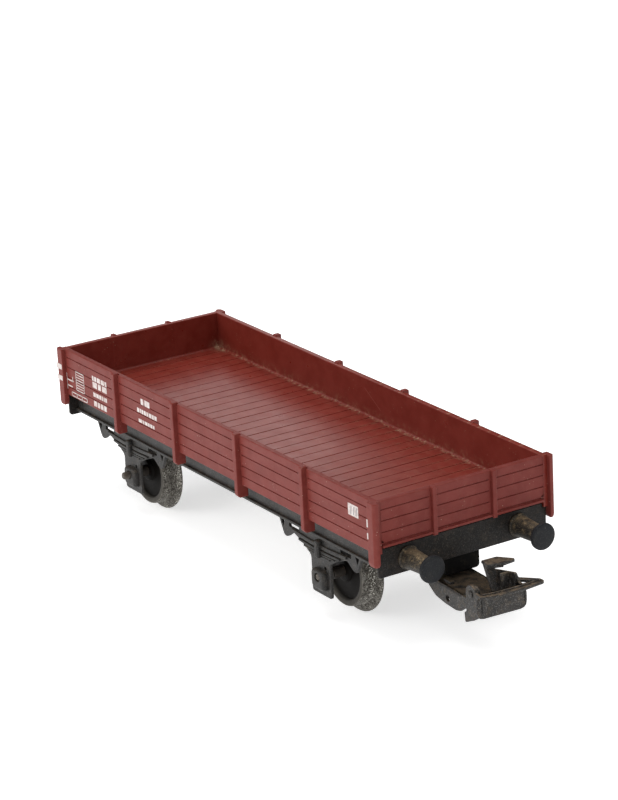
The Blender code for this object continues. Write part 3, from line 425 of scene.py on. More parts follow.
# The same red paint as RED, set deeper and a little darker for the inner walls and floor: painted shade
# inside the body.
RED_INSIDE_SHADED = FloorFinish(
    "red_inside_shaded", "body_red", (0.196, 0.027, 0.018), (0.162, 0.018, 0.011), (0.40, 0.25, 0.16),
    (0.40, 0.14, 0.11), dusty=0.10, flecks=0.7, wear=0.5, roughness=0.32, bump=0.12, gloss=0.28,
)
BLACKENED = Finish(
    "blackened_sheet", "frame_black", (0.025, 0.0235, 0.022), (0.010, 0.0095, 0.009),
    (0.150, 0.115, 0.080), (0.15, 0.145, 0.14), dusty=0.5, flecks=0.9, wear=0.75,
    roughness=0.45, metallic=0.0, bump=0.5, gloss=0.22, glint=0.22, layer=0.35,
)
# A darker copy of the blackened sheet for the web and buffer beams: painted shade on the end faces, which get
# less light.
BEAM_SHADED = Finish(
    "blackened_beam_shaded", "frame_black", (0.0125, 0.0105, 0.009), (0.006, 0.005, 0.0045),
    (0.130, 0.095, 0.065), (0.13, 0.125, 0.12), dusty=0.45, flecks=1.0, wear=0.75,
    roughness=0.5, bump=0.5, gloss=0.16, glint=0.16,
)
BUFFER = Finish(
    "buffer_head", "buffer_black", (0.011, 0.012, 0.014), (0.007, 0.0075, 0.009),
    (0.13, 0.11, 0.085), (0.11, 0.11, 0.11), dusty=0.25, flecks=0.6, wear=0.6,
    roughness=0.5, bump=0.2, gloss=0.16, glint=0.1,
)
BARREL = Finish(
    "buffer_barrel", "buffer_black", (0.030, 0.025, 0.018), (0.012, 0.010, 0.009),
    (0.25, 0.18, 0.10), (0.26, 0.21, 0.14), dusty=0.9, flecks=0.9, wear=0.7,
    roughness=0.55, bump=0.5, gloss=0.25, glint=0.3, layer=0.5,
)
COUPLER = Finish(
    "coupler_steel_dusty", "coupler_steel", (0.024, 0.021, 0.019), (0.010, 0.009, 0.008),
    (0.20, 0.145, 0.090), (0.24, 0.23, 0.22), dusty=0.8, flecks=0.7, wear=0.85,
    roughness=0.42, metallic=0.2, bump=0.5, gloss=0.35, glint=0.3, layer=0.75,
)
# Near black: the bracket's own dark colour, and painted shade on the thin sheet set inside the drawbar behind
# its holes.
DARK_STEEL_AND_SHADE = Finish(
    "dark_steel_and_shade", "coupler_steel", (0.005, 0.0045, 0.004), (0.003, 0.003, 0.003),
    (0.10, 0.08, 0.055), (0.06, 0.055, 0.05), dusty=0.3, flecks=0.5, wear=0.4,
    roughness=0.7, bump=0.4, gloss=0.06,
)
AXLE = Finish(
    "sooty_axle", "plain_steel", (0.075, 0.062, 0.050), (0.030, 0.025, 0.020), (0.14, 0.10, 0.07),
    (0.35, 0.33, 0.30), dusty=0.6, flecks=0.5, wear=0.5, roughness=0.5, metallic=0.4, bump=0.3,
)
STEEL = Finish(
    "turned_steel", "plain_steel", (0.40, 0.39, 0.37), (0.25, 0.23, 0.21), (0.16, 0.12, 0.08),
    (0.62, 0.61, 0.58), dusty=0.35, flecks=0.4, wear=0.6, roughness=0.34, metallic=0.9, bump=0.2,
)
WHITE = Finish(
    "white_marks", "body_red", (0.66, 0.61, 0.59), (0.50, 0.40, 0.37), (0.34, 0.17, 0.14),
    (0.70, 0.66, 0.64), dusty=0.35, flecks=0.4, wear=0.3, roughness=0.5, bump=0.1, blotch=1600.0,
)
GREY_MARK = Finish(
    "grey_marks", "body_red", (0.28, 0.25, 0.25), (0.36, 0.33, 0.33), (0.40, 0.30, 0.26),
    (0.40, 0.36, 0.36), dusty=0.2, flecks=0.2, wear=0.3, roughness=0.5, bump=0.1,
)


# ---------------------------------------------------------------- surfaces on grids


@dataclass(frozen=True)
class Shape:
    """One or more closed surfaces, and which of their faces lie on edges that wear."""

    points: Array
    quads: NDArray[np.int64]
    caps: tuple[tuple[int, ...], ...]
    worn: NDArray[np.bool_]

    def __add__(self, other: "Shape") -> "Shape":
        """Return both shapes as one."""
        start = len(self.points)
        moved = tuple(tuple(start + corner for corner in cap) for cap in other.caps)
        return Shape(
            np.concatenate([self.points, other.points]),
            np.concatenate([self.quads, other.quads + start]),
            self.caps + moved,
            np.concatenate([self.worn, other.worn]),
        )

    def moved(self, turn: Array, step: Sequence[float]) -> "Shape":
        """Return the shape turned by a matrix and then moved by a step in millimetres."""
        points = self.points @ np.asarray(turn).T + np.asarray(step) * MM
        return Shape(points, self.quads, self.caps, self.worn)

    def piece(
        self, name: str, finish: Finish, body: str, cutters: Sequence["Shape"] = ()
    ) -> bpy.types.Object:
        """Make the shape an object.

        Args:
            name: The object's name.
            finish: What dresses it.
            body: The body that it rides on.
            cutters: Shapes that are cut from it.

        Returns:
            The object.
        """
        mesh = bpy.data.meshes.new(name)
        mesh.from_pydata(self.points.tolist(), [], self.quads.tolist() + list(self.caps))
        index = np.zeros(len(mesh.polygons), np.int32)
        index[: len(self.worn)] = self.worn
        mesh.polygons.foreach_set("material_index", index)
        return add_piece(name, mesh, finish, body, cutters)


def add_piece(
    name: str, mesh: bpy.types.Mesh, finish: Finish, body: str, cutters: Sequence[Shape] = ()
) -> bpy.types.Object:
    """Turn a mesh of closed surfaces into a dressed piece that rides on a body.

    Args:
        name: The object's name.
        mesh: Its mesh, in place.
        finish: What dresses it.
        body: The body that it rides on.
        cutters: Shapes that are cut from it.

    Returns:
        The object.
    """
    tidy = bmesh.new()
    tidy.from_mesh(mesh)
    bmesh.ops.recalc_face_normals(tidy, faces=tidy.faces)
    tidy.to_mesh(mesh)
    tidy.free()
    piece = bpy.data.objects.new(name, mesh)
    bpy.context.scene.collection.objects.link(piece)
    for cutter in cutters:
        cut_away(piece, cutter)
    piece.data.shade_smooth()
    piece.data.set_sharp_from_angle(angle=SMOOTH_ANGLE)
    even = piece.modifiers.new("even_normals", "WEIGHTED_NORMAL")
    even.keep_sharp = True
    finish.dress(piece)
    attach(piece, body)
    log.info("%s: %d faces", name, len(piece.data.polygons))
    return piece


def cut_away(piece: bpy.types.Object, cutter: Shape) -> None:
    """Cut a closed shape from a piece with a Boolean."""
    mesh = bpy.data.meshes.new("cutter")
    mesh.from_pydata(cutter.points.tolist(), [], cutter.quads.tolist() + list(cutter.caps))
    tidy = bmesh.new()
    tidy.from_mesh(mesh)
    bmesh.ops.recalc_face_normals(tidy, faces=tidy.faces)
    tidy.to_mesh(mesh)
    tidy.free()
    tool = bpy.data.objects.new("cutter", mesh)
    bpy.context.scene.collection.objects.link(tool)
    difference = piece.modifiers.new("cut", "BOOLEAN")
    difference.operation = "DIFFERENCE"
    difference.solver = "EXACT"
    difference.object = tool
    bpy.context.view_layer.update()
    graph = bpy.context.evaluated_depsgraph_get()
    result = bpy.data.meshes.new_from_object(piece.evaluated_get(graph))
    piece.modifiers.clear()
    piece.data = result
    bpy.data.objects.remove(tool)


def carry(points: Array, worn: Any, ring: bool = False) -> Shape:
    """Join a grid of points into a closed surface.

    Args:
        points: Rows of closed outlines, as (rows, columns, 3).
        worn: Which faces wear, spread over (rows or rows - 1, columns).
        ring: Whether the last row joins the first; otherwise both ends are capped.

    Returns:
        The surface: quads between each two rows, and a cap on each open end.
    """
    rows, columns = points.shape[:2]
    spans = rows if ring else rows - 1
    row = np.arange(spans)[:, None]
    column = np.arange(columns)[None, :]
    after = (row + 1) % rows
    beside = (column + 1) % columns
    corners = [row * columns + column, row * columns + beside]
    corners += [after * columns + beside, after * columns + column]
    quads = np.stack(corners, axis=-1).reshape(-1, 4)
    ends = (tuple(range(columns)), tuple(range((rows - 1) * columns, rows * columns)))
    marked = np.broadcast_to(worn, (spans, columns)).reshape(-1)
    return Shape(points.reshape(-1, 3), quads, () if ring else ends, marked.astype(bool))


def rounded(points: Any, radius: float) -> Array:
    """Round the corners of a closed outline.

    Each corner c becomes the curve (1-t)^2 a + 2t(1-t) c + t^2 b, where a and b lie on its two
    edges at the radius from it, or at 0.45 of an edge that is shorter.
    """
    corners = np.asarray(points, float)

    def reach(edge: Array) -> Array:
        """Return the step along an edge to where its curve starts."""
        length = np.linalg.norm(edge, axis=1, keepdims=True)
        return edge / length * np.minimum(radius, 0.45 * length)

    first = (corners + reach(np.roll(corners, 1, axis=0) - corners))[:, None]
    last = (corners + reach(np.roll(corners, -1, axis=0) - corners))[:, None]
    t = np.linspace(0.0, 1.0, ARC_STEPS)[None, :, None]
    curve = (1 - t) ** 2 * first + 2 * t * (1 - t) * corners[:, None] + t**2 * last
    return curve.reshape(-1, 2)


def inwards(outline: Array) -> Array:
    """Return the unit normals of a closed outline, pointing into it.

    A normal is the sum of its two edges' normals, turned by the sign of the outline's area.
    """
    ahead = np.roll(outline, -1, axis=0) - outline
    ahead /= np.maximum(np.linalg.norm(ahead, axis=1, keepdims=True), 1e-9)
    along = ahead + np.roll(ahead, 1, axis=0)
    along /= np.maximum(np.linalg.norm(along, axis=1, keepdims=True), 1e-9)
    x, y = outline.T
    turned = np.sign(np.sum(x * np.roll(y, -1) - np.roll(x, -1) * y))
    return np.stack([-along[:, 1], along[:, 0]], axis=1) * turned


def prism(
    outline: Any, axis: Axis, start: float, stop: float, edge: float = 0.12, corner: float = 0.12
) -> Shape:
    """Carry a rounded outline along an axis, with a quarter round of its ends.

    At each end the outline moves in by edge * (1 - sin a) while it runs edge * (1 - cos a) along.

    Args:
        outline: The outline's corners, in millimetres.
        axis: The axis.
        start: Where it starts on the axis.
        stop: Where it stops.
        edge: The radius between the ends and the sides.
        corner: The radius of the outline's corners.

    Returns:
        The closed surface, worn along its rounded edges.
    """
    loop = rounded(outline, corner)
    angle = np.linspace(0.0, pi / 2, ARC_STEPS)
    inset = edge * (1 - np.sin(angle))
    along = edge * (1 - np.cos(angle))
    inset = np.concatenate([inset, inset[::-1]])
    level = np.concatenate([start + along, stop - along[::-1]])
    flat = loop[None] + inwards(loop)[None] * inset[:, None, None]
    depth = np.broadcast_to(level[:, None, None], (*flat.shape[:2], 1))
    points = np.concatenate([flat, depth], axis=2)[:, :, list(axis.value)]
    on_arc = np.arange(len(loop)) % ARC_STEPS != ARC_STEPS - 1
    at_end = np.arange(len(level) - 1) != ARC_STEPS - 1
    return carry(points * MM, on_arc[None, :] | at_end[:, None])


def box(low: Sequence[float], high: Sequence[float], edge: float = 0.12) -> Shape:
    """Return a box between two corners, with rounded edges."""
    outline = [(low[0], low[1]), (high[0], low[1]), (high[0], high[1]), (low[0], high[1])]
    return prism(outline, Axis.Z, low[2], high[2], edge, edge)


def turned(
    profile: Any, axis: Axis, centre: Sequence[float], worn: Any = False,
    facets: int = 96, ring: bool = False,
) -> Shape:
    """Turn a profile about an axis: each (along, radius) pair becomes a circle of points.

    Args:
        profile: The pairs, in millimetres, with radii above 0.
        axis: The axis.
        centre: A point on it.
        worn: Which stretches between pairs wear.
        facets: How many points a circle has.
        ring: Whether the profile closes on itself, as a tyre's does.

    Returns:
        The closed surface.
    """
    pairs = np.asarray(profile, float)
    angle = np.arange(facets) * 2 * pi / facets
    circle = np.stack([np.cos(angle), np.sin(angle)], axis=1)
    flat = pairs[:, 1][:, None, None] * circle[None]
    depth = np.broadcast_to(pairs[:, 0][:, None, None], (len(pairs), facets, 1))
    points = np.concatenate([flat, depth], axis=2)[:, :, list(axis.value)]
    marked = np.atleast_1d(np.asarray(worn))[:, None]
    return carry((points + np.asarray(centre)) * MM, marked, ring)


def tube(path: Array, radius: float, sides: int = 12) -> Shape:
    """Carry a circle along a path of points in millimetres.

    At each point the circle lies across the path's direction, on two axes that are worked out
    from that direction and the vertical.
    """
    along = np.gradient(path, axis=0)
    along /= np.linalg.norm(along, axis=1, keepdims=True)
    side = np.cross(along, [0.0, 0.0, 1.0])
    side /= np.maximum(np.linalg.norm(side, axis=1, keepdims=True), 1e-9)
    over = np.cross(side, along)
    angle = np.arange(sides) * 2 * pi / sides
    ring = np.cos(angle)[None, :, None] * side[:, None] + np.sin(angle)[None, :, None] * over[:, None]
    return carry((path[:, None] + radius * ring) * MM, False)


def join(shapes: Sequence[Shape]) -> Shape:
    """Return several shapes as one."""
    total = shapes[0]
    for shape in shapes[1:]:
        total = total + shape
    return total


def refine(node: str, finish: Finish, body: str, edge: float, angle: float = 30.0) -> None:
    """Put a rounded copy of a CAD node in its place.

    Args:
        node: The CAD node.
        finish: What dresses the copy.
        body: The body that it rides on.
        edge: The width of its rounded edges, in millimetres.
        angle: The bend, in degrees, from which an edge is rounded.
    """
    tidy = bmesh.new()
    tidy.from_mesh(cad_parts[node].data)
    bmesh.ops.remove_doubles(tidy, verts=tidy.verts, dist=0.0005 * MM)
    bmesh.ops.dissolve_limit(tidy, angle_limit=radians(0.6), verts=tidy.verts, edges=tidy.edges)
    mesh = bpy.data.meshes.new(node + "_rounded")
    tidy.to_mesh(mesh)
    tidy.free()
    piece = bpy.data.objects.new(node + "_rounded", mesh)
    bpy.context.scene.collection.objects.link(piece)
    mesh.shade_smooth()
    mesh.set_sharp_from_angle(angle=SMOOTH_ANGLE)
    bevel = piece.modifiers.new("rounded_edges", "BEVEL")
    bevel.width = edge * MM
    bevel.segments = 2
    bevel.limit_method = "ANGLE"
    bevel.angle_limit = radians(angle)
    bevel.use_clamp_overlap = False
    bevel.harden_normals = True
    bevel.material = 1
    finish.dress(piece)
    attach(piece, body)
    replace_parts(piece, node)
    log.info("%s: rounded copy of %d faces", node, len(mesh.polygons))


def corners(node: str) -> tuple[Array, Array]:
    """Return a CAD node's lowest and highest corners, in millimetres."""
    low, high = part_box(node)
    return np.array(low) / MM, np.array(high) / MM


# ---------------------------------------------------------------- the body


@dataclass
class WagonBody:
    """The moulded body: planked walls, floor, stakes, corner posts and painted marks."""

    low: Array
    high: Array
    wall: float = 1.0
    post_proud: float = 0.8
    post_length: float = 2.1
    post_width: float = 1.0
    post_tip: float = 16.1
    post_cut: float = 0.42
    post_foot: float = 0.85
    post_head: float = 0.14
    stake_proud: float = 0.85
    stake_rise: float = 0.3
    stake_spacing: float = 20.4
    stake_width: float = 1.0
    end_stake_spacing: float = 11.5
    end_stake_width: float = 0.8
    end_stake_proud: float = 0.6
    end_stake_rise: float = 0.15
    floor_z: float = 20.0
    floor_thickness: float = 1.0
    skirt: float = 1.0
    drops: tuple[float, ...] = (1.45, 3.30, 5.20, 7.05)
    groove: float = 0.22
    depth: float = 0.15
    groove_margin: float = 0.35
    groove_end: float = 0.06
    floor_groove: float = 0.24
    floor_depth: float = 0.16
    planks: int = 35
    pitch: float = 2.88
    rim: float = 0.16
    mark_proud: float = 0.02
    finish: Finish = RED
    # The inner walls and floor take a darker copy of the red, which is painted shade.
    inside: Finish = RED_INSIDE_SHADED
    length: float = field(init=False)
    width: float = field(init=False)
    rim_z: float = field(init=False)

    def __post_init__(self) -> None:
        """Work out the walls' half length, half width and rim from the CAD box."""
        self.length = self.high[0] - self.post_proud
        self.width = self.high[1] - self.stake_proud
        self.rim_z = self.high[2] - self.stake_rise

    def wall_profile(self) -> tuple[Array, Array, Array]:
        """Return a wall's section as it is carried along.

        Returns:
            Points as (distance in from the outer face, height), how far each one moves in where
            the grooves are at their full depth, and which stretches wear.
        """
        rim, half = self.rim, self.groove / 2
        low = self.floor_z - self.floor_thickness - self.skirt
        outline: list[tuple[float, float, float, bool]] = [(0.12, low, 0.0, True)]
        outline.append((0.0, low + 0.12, 0.0, False))
        for drop in reversed(self.drops):
            middle = self.rim_z - drop
            outline.append((0.0, middle - half, 0.0, False))
            outline.append((0.0, middle - 0.6 * half, self.depth, False))
            outline.append((0.0, middle + 0.3 * half, self.depth, False))
            outline.append((0.0, middle + half, 0.0, False))
        for angle in np.linspace(0.0, pi / 2, ARC_STEPS):
            across = rim * (1 - cos(angle))
            outline.append((across, self.rim_z - rim * (1 - sin(angle)), 0.0, angle < pi / 2))
        for angle in np.linspace(pi / 2, 0.0, ARC_STEPS):
            across = self.wall - rim * (1 - cos(angle))
            outline.append((across, self.rim_z - rim * (1 - sin(angle)), 0.0, angle > 0.0))
        for angle in np.linspace(0.0, pi / 2, ARC_STEPS):
            across = self.wall + 0.4 * (1 - cos(angle))
            outline.append((across, self.floor_z + 0.4 * (1 - sin(angle)), 0.0, False))
        outline.append((self.wall + 0.4, self.floor_z - 0.5, 0.0, False))
        outline.append((self.wall, self.floor_z - 0.5, 0.0, False))
        outline.append((self.wall, low, 0.0, False))
        table = np.array([row[:3] for row in outline])
        return table[:, :2], table[:, 2], np.array([row[3] for row in outline])

    def stations(self, limit: float, stakes: Sequence[float], keep: float) -> tuple[Array, Array]:
        """Return places along a wall and how deep the grooves are there.

        Args:
            limit: Where the grooves stop at the ends.
            stakes: The middles of the stakes.
            keep: How far from a stake's middle the grooves stop.

        Returns:
            The places, and 1 in the grooves' runs and 0 at their ends.
        """
        middles = np.asarray(stakes)
        edges = np.concatenate([[-limit, limit], middles - keep, middles + keep])
        near = np.concatenate([edges - self.groove_end, edges, edges + self.groove_end])
        places = np.unique(np.concatenate([near, np.linspace(-limit, limit, 81)]))
        clear = np.min(np.abs(places[:, None] - middles[None]), axis=1) - keep
        inside = np.minimum(clear, limit - np.abs(places))
        return places, np.clip(inside / self.groove_end, 0.0, 1.0)

    def side_wall(self, sign: int) -> Shape:
        """Return one long wall: its section carried along X."""
        profile, groove, worn = self.wall_profile()
        stakes = self.stake_spacing * np.array([-1.5, -0.5, 0.5, 1.5])
        limit = self.high[0] - self.post_length - self.groove_margin
        places, depth = self.stations(limit, stakes, self.stake_width / 2 + self.groove_margin)
        places = np.concatenate([[-self.length], places, [self.length]])
        depth = np.concatenate([[0.0], depth, [0.0]])
        across = profile[None, :, 0] + depth[:, None] * groove[None]
        x = np.broadcast_to(places[:, None], across.shape)
        z = np.broadcast_to(profile[None, :, 1], across.shape)
        points = np.stack([x, sign * (self.width - across), z], axis=-1)
        return carry(points * MM, worn[None])

    def end_wall(self, sign: int) -> Shape:
        """Return one end wall: the same section carried along Y between the side walls."""
        profile, groove, worn = self.wall_profile()
        low = self.floor_z - self.floor_thickness
        profile = np.stack([profile[:, 0], np.maximum(profile[:, 1], low)], axis=1)
        profile[-1, 1] = low - 0.001
        profile[0, 1] = low - 0.001
        stakes = self.end_stake_spacing * np.array([-0.5, 0.5])
        reach = self.width - self.wall + 0.05
        limit = self.width + self.post_proud - self.post_width - self.groove_margin
        places, depth = self.stations(limit, stakes, self.end_stake_width / 2 + self.groove_margin)
        keep = np.abs(places) < reach
        places = np.concatenate([[-reach], places[keep], [reach]])
        depth = np.concatenate([[1.0], depth[keep], [1.0]])
        across = profile[None, :, 0] + depth[:, None] * groove[None]
        y = np.broadcast_to(places[:, None], across.shape)
        z = np.broadcast_to(profile[None, :, 1], across.shape) - 0.004
        points = np.stack([sign * (self.length - across), y, z], axis=-1)
        return carry(points * MM, worn[None])

    def floor(self) -> Shape:
        """Return the planked floor: a section along X with a groove at each joint, carried over Y.

        Each plank lies a little higher or lower and leans a little, and the whole floor has a
        faint wave of 0.02 mm.
        """
        half = self.floor_groove / 2
        chance = np.random.default_rng(7)
        reach = self.length - self.wall + 0.3
        joints = (np.arange(1, self.planks) - self.planks / 2) * self.pitch
        notch = np.array([-half, -0.5 * half, 0.5 * half, half])
        x = (joints[:, None] + notch[None]).reshape(-1)
        drop = np.tile([0.0, self.floor_depth, self.floor_depth, 0.0], len(joints))
        lift = chance.normal(0.0, 0.012, self.planks)
        level = np.stack([lift[:-1], lift[:-1], lift[1:], lift[1:]], axis=1).reshape(-1)
        x = np.concatenate([[-reach], x, [reach]])
        z = np.concatenate([[lift[0]], level - drop, [lift[-1]]])
        across = np.linspace(-1.0, 1.0, 41) * (self.width - self.wall + 0.3)
        wave = 0.02 * np.sin(across / 5.0)[:, None] * np.sin(x / 11.0)[None]
        top = self.floor_z + z[None] + wave
        bottom = np.full((len(across), 2), self.floor_z - self.floor_thickness)
        xs = np.concatenate([x, [reach, -reach]])
        height = np.concatenate([top, bottom], axis=1)
        ys = np.broadcast_to(across[:, None], height.shape)
        points = np.stack([np.broadcast_to(xs[None], height.shape), ys, height], axis=-1)
        return carry(points * MM, False)

    def stakes(self) -> Shape:
        """Return the side stakes, with their feet, and the end stakes."""
        made = []
        half = self.stake_width / 2
        bottom, top = self.low[2], self.high[2]
        skirt = self.floor_z - self.floor_thickness - self.skirt
        for sign in (-1, 1):
            outer = self.width + self.stake_proud
            side = [
                (outer, top - 0.12), (outer, bottom + 0.5), (outer - 0.45, bottom),
                (outer - 2.1, bottom), (outer - 2.1, skirt + 0.5), (self.width - 0.5, skirt + 0.5),
                (self.width - 0.5, top - 0.35), (self.width - 0.3, top), (outer - 0.2, top),
            ]
            outline = [(sign * y, z) for y, z in side]
            for step in (-1.5, -0.5, 0.5, 1.5):
                at = step * self.stake_spacing
                made.append(prism(outline, Axis.X, at - half, at + half, 0.13, 0.16))
            face = self.length + self.end_stake_proud
            wide = self.end_stake_width / 2
            low = self.floor_z - self.floor_thickness - 0.2
            for step in (-0.5, 0.5):
                at = step * self.end_stake_spacing
                ends = sorted((sign * face, sign * (self.length - 0.5)))
                high = self.rim_z + self.end_stake_rise
                made.append(box((ends[0], at - wide, low), (ends[1], at + wide, high), 0.13))
        return join(made)

    def post(self, sign_x: int, sign_y: int) -> Shape:
        """Return one corner post: a rounded section carried up Z.

        The section shrinks towards its middle below the shoulder by 1 - sqrt(1 - u^2), where u runs
        from 0 at the shoulder to 1 at the tip, and by a quarter round at its top.
        """
        outer_x, outer_y = self.length + self.post_proud, self.width + self.post_proud
        inner_x, inner_y = outer_x - self.post_length, outer_y - self.post_width
        cut, foot_height, head_height = self.post_cut, self.post_foot, self.post_head
        section = np.array([
            (inner_x, inner_y), (outer_x, inner_y), (outer_x, outer_y - cut),
            (outer_x - cut, outer_y), (inner_x, outer_y),
        ])
        loop = rounded(section * [sign_x, sign_y], 0.16)
        middle = loop.mean(axis=0)
        tip, shoulder = self.post_tip, self.post_tip + foot_height
        z = np.concatenate([
            tip + foot_height * np.linspace(0.0, 1.0, 9) ** 2,
            self.rim_z - head_height * np.linspace(1.0, 0.0, 5),
        ])
        u = np.clip((shoulder - z) / (shoulder - tip), 0.0, 1.0)
        foot = 1 - 0.42 * (1 - np.sqrt(1 - 0.98 * u**2))
        top = np.clip((z - self.rim_z + head_height) / head_height, 0.0, 1.0)
        head = 1 - 0.10 * (1 - np.sqrt(1 - 0.98 * top**2))
        size = (foot * head)[:, None, None]
        flat = middle + (loop[None] - middle) * size
        depth = np.broadcast_to(z[:, None, None], (*flat.shape[:2], 1))
        worn = (z[:-1] < tip + 0.1) | (z[:-1] > self.rim_z - 0.12)
        return carry(np.concatenate([flat, depth], axis=2) * MM, worn[:, None])

    def posts(self) -> Shape:
        """Return the four corner posts and the ledge below each end wall."""
        made = []
        for sign_x in (-1, 1):
            made += [self.post(sign_x, sign_y) for sign_y in (-1, 1)]
            ledge = sorted((sign_x * (self.length - 0.5), sign_x * (self.length + 0.35)))
            reach = self.width - self.wall
            low_z = self.floor_z - self.floor_thickness
            made.append(box((ledge[0], -reach, low_z), (ledge[1], reach, low_z + 0.45), 0.1))
        return join(made)

    def bar(self, left: float, right: float, low: float, high: float, face: float) -> Shape:
        """Return one painted mark: a thin block on a face that looks to -Y."""
        outline = [(left, low), (right, low), (right, high), (left, high)]
        return prism(outline, Axis.Y, face - self.mark_proud, face + 0.05, 0.008, 0.05)

    def row(
        self, left: float, right: float, low: float, high: float, count: int, seed: int
    ) -> list[Shape]:
        """Return a row of small blocks of uneven widths between two places."""
        chance = np.random.default_rng(seed)
        shares = chance.uniform(0.6, 1.4, count)
        ends = left + (right - left) * np.concatenate([[0.0], np.cumsum(shares) / shares.sum()])
        gap = 0.22 * (right - left) / count
        face = -self.width
        return [
            self.bar(a + gap / 2, b - gap / 2, low, high, face) for a, b in zip(ends, ends[1:])
        ]

    def frame_marks(
        self, left: float, right: float, low: float, high: float, rows: int
    ) -> list[Shape]:
        """Return an outlined box with lines across it."""
        line = 0.16
        face = -self.width
        made = [self.bar(left, left + line, low, high, face)]
        made.append(self.bar(right - line, right, low, high, face))
        for step in range(rows + 1):
            z = low + (high - low - line) * step / rows
            made.append(self.bar(left, right, z, z + line, face))
        return made

    def marks(self) -> Shape:
        """Return the white marks of the -Y side: plain bars, boxes and rows of blocks."""
        face = -self.width
        post = -(self.width + self.post_proud)
        made = [
            self.bar(49.5, 49.85, 22.6, 23.9, post), self.bar(49.5, 49.85, 20.6, 21.6, post),
            self.bar(-51.55, -49.7, 22.9, 23.9, post), self.bar(-51.55, -49.7, 20.8, 21.7, post),
            self.bar(-50.6, -47.0, 21.0, 21.25, face), self.bar(-50.6, -47.5, 19.9, 20.15, face),
            self.bar(-49.6, -49.4, 19.2, 22.3, face), self.bar(-47.4, -47.2, 21.0, 22.0, face),
            self.bar(43.1, 46.0, 22.65, 24.6, face),
        ]
        made += self.frame_marks(-46.1, -43.0, 19.75, 23.4, 7)
        for left in (-48.0, -46.1, -44.2):
            made += self.frame_marks(left, left + 2.0, 18.25, 19.1, 1)
        for left, right, low, high, count, seed in (
            (-39.9, -34.4, 23.3, 24.2, 5, 3), (-39.9, -34.4, 22.0, 23.1, 3, 4),
            (-39.8, -34.6, 20.3, 21.1, 6, 5), (-39.8, -34.9, 18.5, 19.5, 4, 6),
            (-22.4, -19.0, 23.4, 24.5, 2, 8), (-23.8, -16.8, 21.7, 22.5, 8, 9),
            (-23.5, -17.8, 19.9, 20.55, 6, 10),
        ):
            made += self.row(left, right, low, high, count, seed)
        return join(made)

    def label_bars(self) -> Shape:
        """Return the grey slanting bars on the white label near the front corner."""
        made = []
        for at in (43.7, 44.5, 45.2):
            outline = [(at, 22.9), (at + 0.32, 22.9), (at + 0.52, 24.3), (at + 0.2, 24.3)]
            start = -self.width - 0.035
            made.append(prism(outline, Axis.Y, start, start + 0.04, 0.006, 0.05))
        return join(made)

    def build(self) -> None:
        """Make and dress every surface of the body."""
        body = "wagon"
        right = self.side_wall(-1).piece("side_wall_right", self.finish, body)
        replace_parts(right, "wagon_body")
        self.side_wall(1).piece("side_wall_left", self.inside, body)
        self.end_wall(1).piece("end_wall_front", self.finish, body)
        self.end_wall(-1).piece("end_wall_rear", self.inside, body)
        self.floor().piece("planked_floor", self.inside, body)
        self.stakes().piece("stakes", self.finish, body)
        self.posts().piece("corner_posts", self.finish, body)
        self.marks().piece("painted_marks", WHITE, body)
        self.label_bars().piece("label_bars", GREY_MARK, body)


# ---------------------------------------------------------------- the underframe


